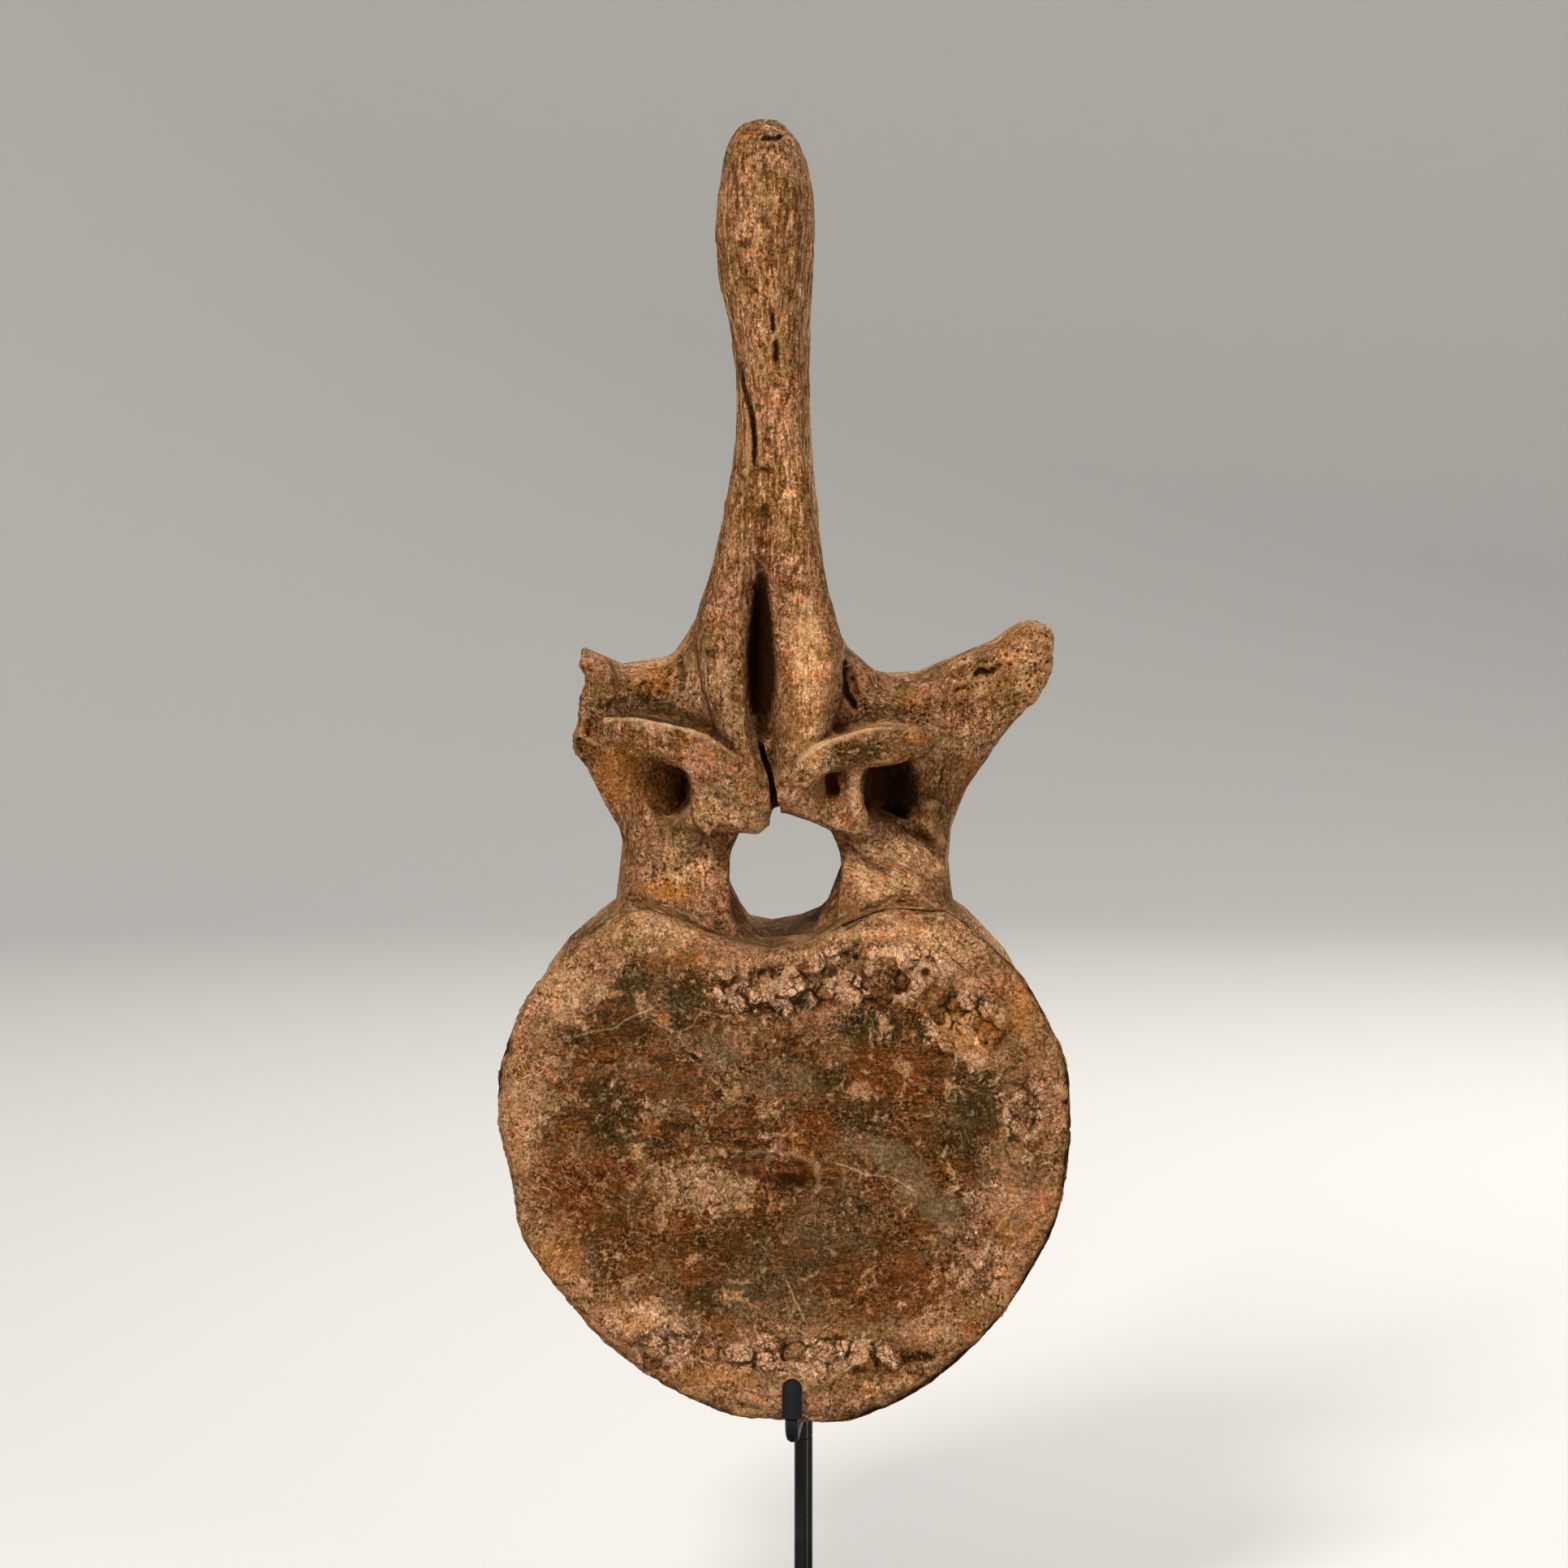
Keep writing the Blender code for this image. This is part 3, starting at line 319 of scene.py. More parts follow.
# Paler bone: partly the bone's own paler tone and partly painted light, where light falls on the
# top of the spine and the feet of the arch
BLEACHED_AND_LIT = (
    (-10, 450, 40, 80, 1), (3, 345, 9, 26, 1), (-38, 276, 14, 13, 0.8), (30, 276, 20, 13, 1),
    (32, 256, 22, 8, 0.8), (70, 342, 24, 20, 0.8), (-46, 343, 12, 7, 1), (-60, 308, 12, 18, 0.4),
    (54, 300, 8, 30, 0.3),
)
SLANTED = (
    (32, 280, 26, 19, 1), (-70, 176, 22, 13, 1),
)

# Pale veins, dark hairline cracks and open slits on the rear; the dark line along each slit is
# painted shade
VEINS = (
    ((-4.4, 143.8), (-2.6, 139), (-1, 136.4), (1.8, 129.6)),
    ((8, 184.2), (15, 182.6), (20, 180.2), (30, 178.6), (37.4, 174.2)),
    ((-74.3, 225.8), (-68.6, 227.5), (-60.7, 228.6), (-57.1, 231.5), (-53.6, 233.3),
     (-46.4, 236.1)),
    ((-49.3, 231.5), (-46.4, 229.3), (-42.1, 227.2), (-38.5, 222.9), (-35.9, 219.8)),
    ((-41.6, 226.2), (-35.7, 229.3), (-32.8, 234.3), (-29.2, 233.3), (-25.7, 232.5)),
    ((-31.4, 213.6), (-28.5, 210.7), (-25.7, 207.9)),
)
HAIRLINES = (
    ((-43.6, 226.6), (-40, 222.4), (-37.4, 219.6)),
    ((-36, 189.6), (-24, 190.6), (-16, 189), (-8, 186)),
    ((-60, 268.8), (-50, 268), (-40, 264.6), (-29, 260.4), (-19, 257.6)),
    ((14, 260.6), (21.8, 265.9), (30.4, 269), (40.3, 269), (49.6, 267)),
    ((44, 258), (50, 251), (56, 246), (64, 240)),
    ((60, 214), (66, 220), (64, 228)),
    ((-78, 140), (-70, 134), (-62, 128)),
)
# the dark line along each open slit is painted shade in it
SLITS = (
    ((-20.1, 444.6), (-19.6, 440.6), (-18.2, 435.2), (-16.2, 427.8), (-15.4, 419.9),
     (-15.6, 414)),
    ((-9.5, 460.4), (-9.2, 457)),
    ((-8.3, 452), (-8.4, 447.8)),
    ((-12.4, 518.2), (-10.4, 518.7), (-8.4, 518.3), (-7, 518.9)),
    ((14.4, 346), (13.8, 342), (15, 337.6), (17.6, 333.2)),
    ((57.4, 343.6), (58.6, 344.8), (60.6, 344.4)),
    ((-36, 219.4), (-35.2, 218.8)),
)
LINE_REACH = 3.0

# Tones: patches on the rear, and the size, seed, soft edge and strength of lumps elsewhere
TONE_PATCHES = (
    ("stain", STAINS, 24, 31, (0.12, 0.36), 0.75), ("grey", GREYS, 30, 32, (0.1, 0.34), 0.8),
    ("rust", RUSTS, 20, 33, (0.06, 0.32), 0.95), ("amber", AMBERS, 14, 34, (0.24, 0.46), 0.6),
    ("pale", PALES, 22, 35, (0.02, 0.3), 0.95),
)
TONE_OCTAVES = 3

# Noise relief: its mask, height, size of the lumps, seed and octaves
SEED_STEP = 13.7
RELIEF = (
    ("calm", 0.5, 21, 1, 2), ("all", 0.26, 7, 2, 2), ("all", 0.2, 3.2, 4, 3),
    ("face", 0.9, (30, 60, 15), 5, 3), ("face", 0.36, (9, 20, 4.4), 17, 3),
    ("front_face", 0.6, (16, 30, 9), 18, 3), ("spine", 0.4, (2.4, 3, 26), 6, 3),
    ("spine", 0.24, (1.8, 2.2, 7), 7, 2), ("drum_side", 0.3, (3, 24, 3), 8, 3),
    ("broken", 1.2, 5, 9, 3), ("crest", 0.5, (7, 5, 5), 11, 3),
)
# Sharp creases of the broken ends, and pits: depth, size and seed, and the pits' soft edge
BREAK_CREASES = (0.6, 3.2, 10)
PITS = (0.8, 3, 12)
PIT_EDGE = (0.5, 0.12)
# The crust: its height, its grain, and the size, seed, octaves and soft edge of its islands
CRUST_HEIGHT = 0.75
CRUST_GRAIN = (0.45, 3, 15)
CRUST_ISLANDS = (11, 13, 3)
CRUST_EDGE = (-0.24, -0.08)

# Hollows for the painted shade in them and the paler crests: rounds of evening out, and the
# depth that counts as full
HOLLOWS_BEHIND = (6, 0.35)
HOLLOWS_AWAY = (1, 0.4)
HOLLOWS_BROAD = (60, 3)

# Painted shade in the deep places of the arch, the spine and the drum. A soft box has left and
# right edge, foot and top, and perhaps a foot that falls to the right of an x. A soft round has
# middle, radii and edge.
DEEP_SHADE_DEPTH = (-52, -42)
LEFT_HOLLOW = ((-50, -38), (-34.4, -35.4), (296, 301), (318.5, 315.5))
RIGHT_HOLLOW = ((18.6, 21.6), (43, 31), (286, 299), (320, 315.5))
RIGHT_FALL = 0.25
RIGHT_FALL_FROM = 30.0
SMALL_HOLLOW = ((9.8, 308.6), (2.4, 4.6), (1.4, 0.5))
CRATER = ((-5, 177), (8, 3.4), (1.4, 0.4))
CRATER_DEPTH = (-30, -40)
FOOT_LINE = ((29, 297), (35, 292.6), (43, 287.4))
FOOT_EDGE = (4, 1)
NECK_HEIGHT = 326.0
NECK_EDGES = ((3, 1), (6, 3))
# The groove of the spine, which is wider between two soft edges along Z
GROOVE_X = -13.2
GROOVE_WIDTH = 1.6
GROOVE_WIDER = 3.6
GROOVE_SWELL = ((384, 346), (325, 341))
GROOVE_BORDER = (1.6, 0.55)
GROOVE_ENDS = ((388, 372), (327, 333))
DEEP_SHADE_SHARES = {"left": 0.22, "right": 0.8, "small": 0.75, "foot": 0.6, "neck": 0.5, "crater": 0.6}

# Colours of the bone
TAN = (0.32, 0.15, 0.05)
OLIVE = (0.24, 0.136, 0.046)
PINK = (0.48, 0.225, 0.108)
BROWN = (0.19, 0.07, 0.016)
UMBER = (0.072, 0.024, 0.004)
# painted shade in the broad hollows
HOLLOW_SHADE_RED = (0.125, 0.034, 0.004)
FACE_DARK = (0.066, 0.027, 0.004)
FACE_RED = (0.205, 0.06, 0.01)
FACE_TAN = (0.33, 0.148, 0.058)
FACE_GREEN = (0.094, 0.062, 0.017)
FACE_LAYER = (0.4, 0.14, 0.05)
FLECK = (0.52, 0.265, 0.135)
STAIN = (0.052, 0.034, 0.008)
GREY = (0.23, 0.14, 0.067)
RUST = (0.235, 0.06, 0.008)
AMBER = (0.56, 0.205, 0.036)
PALE = (0.65, 0.355, 0.17)
# painted shade for the deep places
DEEP_SHADE = (0.034, 0.008, 0.001)
# painted shade in the crease over the rims
CREASE_SHADE = (0.05, 0.03, 0.005)
CRUST = (0.76, 0.41, 0.215)
CRUST_BED = (0.15, 0.046, 0.007)
VEIN = (0.64, 0.41, 0.24)
# painted highlight along the rims of the joint faces
RIM_HIGHLIGHT = (0.74, 0.5, 0.25)
# dark of the hairline cracks, the crust's cracks and the pits, and painted shade in fine hollows
# and slits
CRACK_AND_SHADE = (0.024, 0.008, 0.001)
MOTTLE = (0.105, 0.034, 0.005)

# Colours that multiply the tone under them, and the contrast of the whole
# darker speck, and painted shade in the crevices of the fine relief
DARKER_SPECK_AND_SHADE = (0.22, 0.13, 0.04)
# lighter speck, and painted glints on the tops of the fine relief
LIGHTER_SPECK_AND_GLINT = (1.8, 1.98, 2.4)
REDDER = (1.14, 0.84, 0.6)
GREENER = (0.85, 1.03, 0.82)
# paler bone, partly painted light
BLEACH_AND_LIGHT = (1.32, 1.3, 1.26)
BALANCE = (1.2, 1.37, 1.59)
CONTRAST = 1.16

# Noise textures of the bone: size, detail, roughness, distortion, and turn in degrees
TEXTURES = {
    "broad": (24, 4, 0.6, 0.6), "patch": (10, 5, 0.68, 0.9),
    "run": ((16, 14, 6.6), 4, 0.68, 1.2), "mottle": (4.4, 5, 0.72, 1.2),
    # the dust and grain fields are fine noise, not dust: they give the bone's speck, its small
    # bumps, and painted shade and glints on those bumps
    "grain": (2.1, 4, 0.72, 1.7), "dust": (0.9, 3, 0.7, 0.8), "hue": (6, 4, 0.74, 0.7),
    "rest": (13, 3, 0.6, 0.8), "layers": ((5, 6, 0.9), 3, 0.66, 0.5),
    "upright": ((1.3, 2, 8), 4, 0.72, 0.4),
    "slanted": ((1.3, 2, 8), 4, 0.72, 0.6, -57),
}
PIT_SIZE = 1.9
# Plates of the crust: their size and how far their edges are shaken
BIG_PLATES = (8.5, 2.2)
SMALL_PLATES = (3.6, 1.5)
SMALL_PLATES_FAR = 1.4

# Layers of colour: a field, its soft edge, the most that is covered, the colour and its mix
BASE_EDGE = (0.4, 0.58)
BASE_LAYERS = (
    ("run", (0.5, 0.62), 0.75, OLIVE), ("patch", (0.49, 0.6), 0.7, BROWN),
    ("patch", (0.44, 0.34), 0.6, PALE), ("mottle", (0.52, 0.6), 0.66, MOTTLE),
)
FACE_EDGE = (0.4, 0.6)
FACE_LAYERS = (
    ("broad", (0.5, 0.64), 0.6, GREY), ("hue", (0.5, 0.6), 0.7, FACE_GREEN),
    ("ragged", (0.54, 0.68), 0.66, FACE_TAN), ("ragged", (0.46, 0.36), 0.65, FACE_DARK),
    ("layers", (0.52, 0.62), 0.5, FACE_LAYER), ("layers", (0.46, 0.37), 0.6, FACE_DARK),
)
HUE_LAYERS = (
    ("hue", (0.52, 0.66), 0.85, REDDER, "MULTIPLY"),
    ("hue", (0.47, 0.34), 0.85, GREENER, "MULTIPLY"),
)
DARK_STREAKS = (("streak", (0.5, 0.4), 1, UMBER),)
PALE_STREAKS = (("streak", (0.54, 0.63), 0.55, PALE),)
# Fine speck, darker where the bump field is low and lighter where it is high: partly the bone's own
# speck and partly painted shade and painted glints
FINE_SPECK_SHADE_AND_GLINT_LAYERS = (
    ("dust", (0.48, 0.39), 0.6, DARKER_SPECK_AND_SHADE, "MULTIPLY"),
    ("dust", (0.52, 0.62), 0.45, LIGHTER_SPECK_AND_GLINT, "MULTIPLY"),
)
# The grain: partly the bone's own speck and flecks, and partly painted shade in its crevices and
# painted glints on its tops
GRAIN_SPECK_SHADE_AND_GLINT_LAYERS = (
    ("grain", (0.49, 0.41), 0.86, DARKER_SPECK_AND_SHADE, "MULTIPLY"), ("grain", (0.52, 0.6), 0.22, FLECK),
    ("grain", (0.52, 0.6), 0.62, LIGHTER_SPECK_AND_GLINT, "MULTIPLY"),
)
# Painted shade in the fine and broad hollows, and paler fine crests
HOLLOW_SHADE_LAYERS = (
    ("hollow_fine", (0.62, 0.96), 0.7, CRACK_AND_SHADE), ("hollow_fine", (0.36, 0.06), 0.35, PALE),
    ("hollow_broad", (0.58, 1), 0.6, HOLLOW_SHADE_RED),
)

# Painted masks: the mask, the field that breaks its edge, how far that spreads, how soft the
# edge is, the most that is covered, and the colour
PAINTED = (
    ("rust", "ragged", 1.2, 0.4, 0.62, RUST), ("grey", "ragged", 1, 0.4, 0.8, GREY),
    # on the feet of the arch the pale is partly painted light
    ("stain", "ragged", 0.9, 0.42, 0.82, STAIN), ("pale", "torn", 1.3, 0.34, 0.72, PALE),
    # the crease over the rims gets painted shade
    ("crease", "mottle", 0.4, 0.3, 0.72, CREASE_SHADE),
)
PAINTED_FACE = ("inner", "ragged", 0.9, 0.34, 0.96)
CRUST_MASK = ("crust", "mottle", 0.5, 0.16)
CRUST_MOST = 0.72
PAINTED_AMBER = ("amber", "ragged", 0.7, 0.36, 0.6, AMBER)
# The deep places get painted shade
PAINTED_DEEP_SHADE = ("deep", "mottle", 0.24, 0.46, 0.94, DEEP_SHADE)

# Thin lines: places, colour, width and shake as shares of LINE_REACH, the most that is
# covered, and whether they come and go
THREADS = (
    ("vein", VEINS, VEIN, 0.052, 0.36, 0.66, True),
    ("hairline", HAIRLINES, CRACK_AND_SHADE, 0.042, 0.42, 0.88, True),
    # the slit lines are painted shade in the open slits, and the rim lines a painted highlight
    ("slit", SLITS, CRACK_AND_SHADE, 0.13, 0.16, 0.88, False), ("rim", RIMS, RIM_HIGHLIGHT, 0.15, 0.5, 0.66, False),
)

# Small relief of the bone in its material: field, distance and strength
BUMPS = (
    ("dust", 0.7, 1), ("grain", 2.2, 1), ("mottle", 3.4, 1), ("patch", 3.6, 0.6),
    ("fibres", 1.8, 1), ("holes", 0.9, 0.9),
)
# Where the grain is calmer: a field, its soft edge, and the share of the grain that is left
CALM = (("grey", (0, 1), 0.45), ("rest", (0.42, 0.58), 0.4), ("bleached_and_lit", (0, 1), 0.72))

# The ragged texture's parts, the streaks, and the bed, plates and pits with their soft edges
RAGGED = (0.55, 0.75, 0.15)
TORN = 0.6
STREAK_SHARES = (0.7, 0.42)
BED_FLAKED = (0.2, 0.7)
BED_BARE = (0, 0.6)
BED_MOST = 0.45
PLATE_GAP = (0.11, 0.02)
PLATE_FLAKED = (0.15, 0.7)
PLATE_PATCH = (0.42, 0.54)
PLATE_LEAST = 0.25
PLATE_MOST = 0.95
PIT_CELL = (0.36, 0.16)
PIT_MASK = (0.05, 0.6)
PIT_MOST = 0.75
THREAD_SPAN = (1.6, 0.5)
THREAD_GAPS = (0.36, 0.6)
ROUGH_EDGE = (0.3, 0.7)
BONE_ROUGHNESS = (0.95, 0.74)
BONE_SHEEN = 0.06
BONE_SHEEN_TINT = (1, 0.7, 0.45)

# Stand: colours, the dust on them as a factor and an offset, and the sheen
STEEL = (0.011, 0.011, 0.012)
RUBBER = (0.005, 0.005, 0.006)
BLACK_DUST = (2.6, 0.01)
BLACK_DUST_SIZE = 14.0
BLACK_DUST_EDGE = (0.52, 0.78)
BLACK_DUST_MOST = 0.5
BLACK_VARIES = (-0.08, 0.1)
BLACK_SHEEN = 0.16
BLACK_BUMP = (0.12, 0.35)

# Stage, in metres
FLOOR_RADIUS = 2.3
BEND_RADIUS = 0.9
WALL_HEIGHT = 1.3
BEND_STEPS = 14
ROUND_STEPS = 64
PAPER = (0.56, 0.55, 0.53)
PAPER_GRAIN = 3.0
PAPER_ROUGHNESS = (0.86, 0.94)

# Lamps: name, place in metres, power, width in metres and tint
LAMPS = (
    ("key_light", (-0.75, -2, 1.65), 72, 0.5, (1, 0.95, 0.88)),
    ("fill_light", (1.5, -1.9, 0.8), 17, 1.2, (1, 0.95, 0.88)),
    ("top_light", (0.1, -0.1, 2.3), 18, 1, (1, 1, 1)),
    ("back_light", (0.9, 1.6, 1.6), 44, 0.9, (1, 0.97, 0.93)),
)
SKY = (0.92, 0.94, 1)
SKY_STRENGTH = 0.22

# Camera, at the photograph's place
AIM = (-5.8, -48, 308.8)
CAMERA_DISTANCE = 1850.0
CAMERA_ELEVATION = 5.0
FRAME_WIDTH = 512.0
SENSOR = 36.0


# Shared helpers

def new_piece(name, shape):
    """The bmesh as an object of that name, linked to the scene."""
    mesh = bpy.data.meshes.new(name)
    shape.to_mesh(mesh)
    shape.free()
    piece = bpy.data.objects.new(name, mesh)
    bpy.context.scene.collection.objects.link(piece)
    return piece


def bake_modifiers(piece):
    """The piece's mesh becomes what its modifiers make of it."""
    graph = bpy.context.evaluated_depsgraph_get()
    shaped = bpy.data.meshes.new_from_object(piece.evaluated_get(graph))
    piece.modifiers.clear()
    piece.data = shaped


def rise(values, low, high):
    """0 below low, 1 above high, and an even rise between them; high may be the lower."""
    share = np.clip((values - low) / (high - low), 0.0, 1.0)
    return share * share * (3.0 - 2.0 * share)


def noise_at(points, size, seed, octaves=2):
    """Soft noise from about -1 to 1 at each point, with lumps of that size."""
    places = points / np.asarray(size, float) + seed * SEED_STEP
    return np.array([noise.fractal(place, 1.0, 2.0, octaves) for place in places.tolist()])


def cell_noise_at(points, size, seed):
    """Distance to the middle of the nearest cell, in cell sizes."""
    places = points / np.asarray(size, float) + seed * SEED_STEP
    return np.array([noise.voronoi(place)[0][0] for place in places.tolist()])


def line_distance(points, line):
    """Distance from each (x, z) point to the line, and which side it is on."""
    nearest = np.full(len(points), FAR)
    side = np.zeros(len(points))
    corners = np.array(line, float)
    for start, end in zip(corners, corners[1:]):
        run = end - start
        offset = points - start
        share = np.clip(offset @ run / (run @ run), 0.0, 1.0)
        gap = np.linalg.norm(offset - share[:, None] * run, axis=1)
        closer = gap < nearest
        turned = run[0] * offset[:, 1] - run[1] * offset[:, 0]
        side[closer] = np.sign(turned[closer])
        nearest[closer] = gap[closer]
    return nearest, side


def soft_round(x, z, middle, reach, edge):
    """How far each (x, z) lies in a soft round, from 0 to 1."""
    gap = np.hypot((x - middle[0]) / reach[0], (z - middle[1]) / reach[1])
    return rise(gap, *edge)


def patches(spots, patch_list):
    """How strongly each (x, z) spot lies in any of the soft patches, from 0 to 1."""
    strength = np.zeros(len(spots))
    for x, z, reach_x, reach_z, most in patch_list:
        inside = soft_round(spots[:, 0], spots[:, 1], (x, z), (reach_x, reach_z), PATCH_EDGE)
        strength = np.maximum(strength, most * inside)
    return strength


# The bone

def fused_bone():
    """Copies of the bone's nodes, swelled a little so that their thin cuts close."""
    whole = bmesh.new()
    for name in BONE_NODES:
        part = bmesh.new()
        part.from_mesh(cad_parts[name].data)
        bmesh.ops.remove_doubles(part, verts=part.verts, dist=MERGE * MM)
        part.normal_update()
        for vert in part.verts:
            vert.co += vert.normal * SWELL * MM
        mesh = bpy.data.meshes.new(name)
        part.to_mesh(mesh)
        part.free()
        whole.from_mesh(mesh)
        bpy.data.meshes.remove(mesh)
    for row in STRUTS:
        strut(whole, row)
    bone = new_piece("fossil_bone", whole)
    skin = bone.modifiers.new("skin", "REMESH")
    skin.mode = "VOXEL"
    skin.voxel_size = VOXEL * MM
    bake_modifiers(bone)
    return bone


def strut(shape, row):
    """A rod with a rounded end and a radius of its own at each point of the row."""
    for x, y, z, radius in row:
        ball = Matrix.Translation(Vector((x, y, z)) * MM)
        bmesh.ops.create_icosphere(shape, subdivisions=2, radius=radius * MM, matrix=ball)
    for start, end in zip(row, row[1:]):
        near = Vector(start[:3]) * MM
        run = Vector(end[:3]) * MM - near
        turn = run.to_track_quat("Z", "Y").to_matrix().to_4x4()
        bmesh.ops.create_cone(
            shape, cap_ends=True, segments=STRUT_SIDES, radius1=start[3] * MM,
            radius2=end[3] * MM, depth=run.length, matrix=Matrix.Translation(near + run / 2) @ turn)


def cut_cleft(bone):
    """A thin uneven wedge opens the cleft between the rear joint faces again."""
    shape = bmesh.new()
    outline = []
    for side in (1, -1):
        stations = list(zip(CLEFT_LINE, CLEFT_WIDTHS))
        for (x, z), width in stations[::side]:
            outline.append(shape.verts.new(Vector((x + side * width / 2, CLEFT_REAR, z)) * MM))
    rear = shape.faces.new(outline)
    grown = bmesh.ops.extrude_face_region(shape, geom=[rear])
    front = [item for item in grown["geom"] if isinstance(item, bmesh.types.BMVert)]
    depth = (CLEFT_FRONT - CLEFT_REAR) * MM
    bmesh.ops.translate(shape, verts=front, vec=(0, depth, 0))
    bmesh.ops.recalc_face_normals(shape, faces=shape.faces)
    wedge = new_piece("wedge", shape)
    cut = bone.modifiers.new("cleft", "BOOLEAN")
    cut.operation = "DIFFERENCE"
    cut.solver = "MANIFOLD"
    cut.object = wedge
    bake_modifiers(bone)
    bpy.data.objects.remove(wedge)


def smooth(bone, rounds, area=None):
    """The whole bone is evened out, or only a soft area given as a weight at each point."""
    worn = bone.modifiers.new("worn", "SMOOTH")
    worn.factor = 0.5
    worn.iterations = rounds
    if area is not None:
        group = bone.vertex_groups.new(name="area")
        for point in np.nonzero(area > FAINT)[0].tolist():
            group.add([point], float(area[point]), "REPLACE")
        worn.vertex_group = "area"
    bake_modifiers(bone)
    bone.vertex_groups.clear()


def points_and_normals(piece):
    """The piece's points in millimetres and their unit normals, as arrays."""
    mesh = piece.data
    points = np.zeros(len(mesh.vertices) * 3)
    mesh.vertices.foreach_get("co", points)
    normals = np.zeros(len(mesh.vertices) * 3)
    mesh.vertex_normals.foreach_get("vector", normals)
    return points.reshape(-1, 3) * WHOLE_MM, normals.reshape(-1, 3)


def set_points(piece, points):
    """The piece's points go to those places, given in millimetres."""
    piece.data.vertices.foreach_set("co", (points * MM).ravel())
    piece.data.update()


def areas(points, normals):
    """Soft masks for the parts of the bone that have a surface of their own."""
    x, y, z = points.T
    spots = points[:, [0, 2]]
    rear = rise(-normals[:, 1], *REAR_TURN)
    front = rise(normals[:, 1], *REAR_TURN)
    behind = rise(-y, *BEHIND) * rear
    drum = rise(z, *DRUM_TOP)
    spine = rise(z, *SPINE_FOOT)
    face = drum * rise(-y, *FACE_PLACE) * rear
    front_face = drum * rise(y, *FACE_PLACE) * front
    pitted = patches(spots, PITTED) * rise(z, *ARCH_FOOT)
    left_end, right_end = (
        rise(x, *end) * rise(z, *foot) for end, foot in BROKEN_ENDS)
    return {
        "all": np.ones(len(points)),
        "calm": 1.0 - FACE_CALM * face,
        "behind": behind,
        "face": face,
        "front_face": front_face,
        "drum_side": drum * rise(np.abs(normals[:, 1]), *SIDE_TURN),
        "spine": spine,
        "fibre": np.maximum(spine, patches(spots, FIBROUS)),
        "slant": patches(spots, SLANTED),
        "flaked": patches(spots, FLAKED) * np.maximum(behind, FRONT_FLAKES * front_face),
        "pitted": np.maximum(pitted, TIP_PITS * rise(z, *SPINE_TIP)),
        "broken": np.maximum(left_end, right_end),
        "crest": drum * rise(np.abs(y), *CREST_PLACE),
    }


def carve(points, normals):
    """Scoops, furrows, ridges and rims of the rear, as a move of each point."""
    x, y, z = points.T
    spots = points[:, [0, 2]]
    behind = rise(-y, *BEHIND) * rise(-normals[:, 1], *CARVED_TURN)
    inward = np.array((0.0, 1.0, 0.0)) - normals
    inward /= np.linalg.norm(inward, axis=1)[:, None] + TINY
    depth = np.zeros(len(points))
    height = np.zeros(len(points))
    for line, half_width, deep in SCOOPS:
        gap = line_distance(spots, line)[0]
        depth = np.maximum(depth, deep * rise(gap, half_width, 0.0))
    for line, half_width, deep in FURROWS:
        gap = line_distance(spots, line)[0]
        depth += deep * rise(gap, half_width, half_width * FURROW_FLOOR)
    for line, half_width, high in RIDGES:
        gap = line_distance(spots, line)[0]
        height = np.maximum(height, high * np.clip(1.0 - gap / half_width, 0.0, 1.0))
    jutting = rise(y, *JUTTING)
    tilted = np.zeros(len(points))
    for line, (tilt, border) in zip(RIMS, FACE_TILTS):
        gap, side = line_distance(spots, line)
        below = gap * -side
        lip = np.clip(1.0 - below / RIM_LIP_DROP, 0.0, 1.0) * rise(below, -RIM_STEP, 0.0)
        height = np.maximum(height, RIM_LIP * lip * (gap < RIM_LIP_DROP))
        face = jutting * rise(x, *border)
        tilted += tilt * face * rise(below, *TILT_DROP)
    move = inward * (depth * behind)[:, None] + normals * (height * behind)[:, None]
    move[:, 1] += tilted * behind
    return move


def crust(points):
    """How thick the broken crust lies, from 0 to 1."""
    return rise(noise_at(points, *CRUST_ISLANDS), *CRUST_EDGE)


def relief(points, normals):
    """How far each point stands out from the smooth form."""
    area = areas(points, normals)
    out = np.zeros(len(points))
    for mask, height, size, seed, octaves in RELIEF:
        out += height * area[mask] * noise_at(points, size, seed, octaves)
    depth, size, seed = BREAK_CREASES
    out -= depth * area["broken"] * np.abs(noise_at(points, size, seed))
    depth, size, seed = PITS
    pitted = area["pitted"] > FAINT
    nearest = cell_noise_at(points[pitted], size, seed)
    out[pitted] -= area["pitted"][pitted] * depth * rise(nearest, *PIT_EDGE)
    height, size, seed = CRUST_GRAIN
    flaked = area["flaked"] > FAINT
    plates = CRUST_HEIGHT * crust(points[flaked]) + height * noise_at(points[flaked], size, seed)
    out[flaked] += area["flaked"][flaked] * plates
    return out


def thin(bone):
    """Fewer triangles where the bone is plain or faces away from the camera."""
    points, normals = points_and_normals(bone)
    plain = bone.vertex_groups.new(name="plain")
    behind = rise(-normals[:, 1], *DETAIL_TURN) * rise(-points[:, 1], *DETAIL_BEHIND)
    detailed = np.nonzero(behind > 0.5)[0].tolist()
    plain.add(list(range(len(points))), 1.0, "REPLACE")
    plain.add(detailed, DETAIL_WEIGHT, "REPLACE")
    fewer = bone.modifiers.new("fewer", "DECIMATE")
    fewer.vertex_group = "plain"
    fewer.vertex_group_factor = 1.0
    triangles = sum(len(face.vertices) - 2 for face in bone.data.polygons)
    fewer.ratio = min(1.0, BONE_TRIANGLES / triangles)
    bake_modifiers(bone)
    bone.vertex_groups.clear()


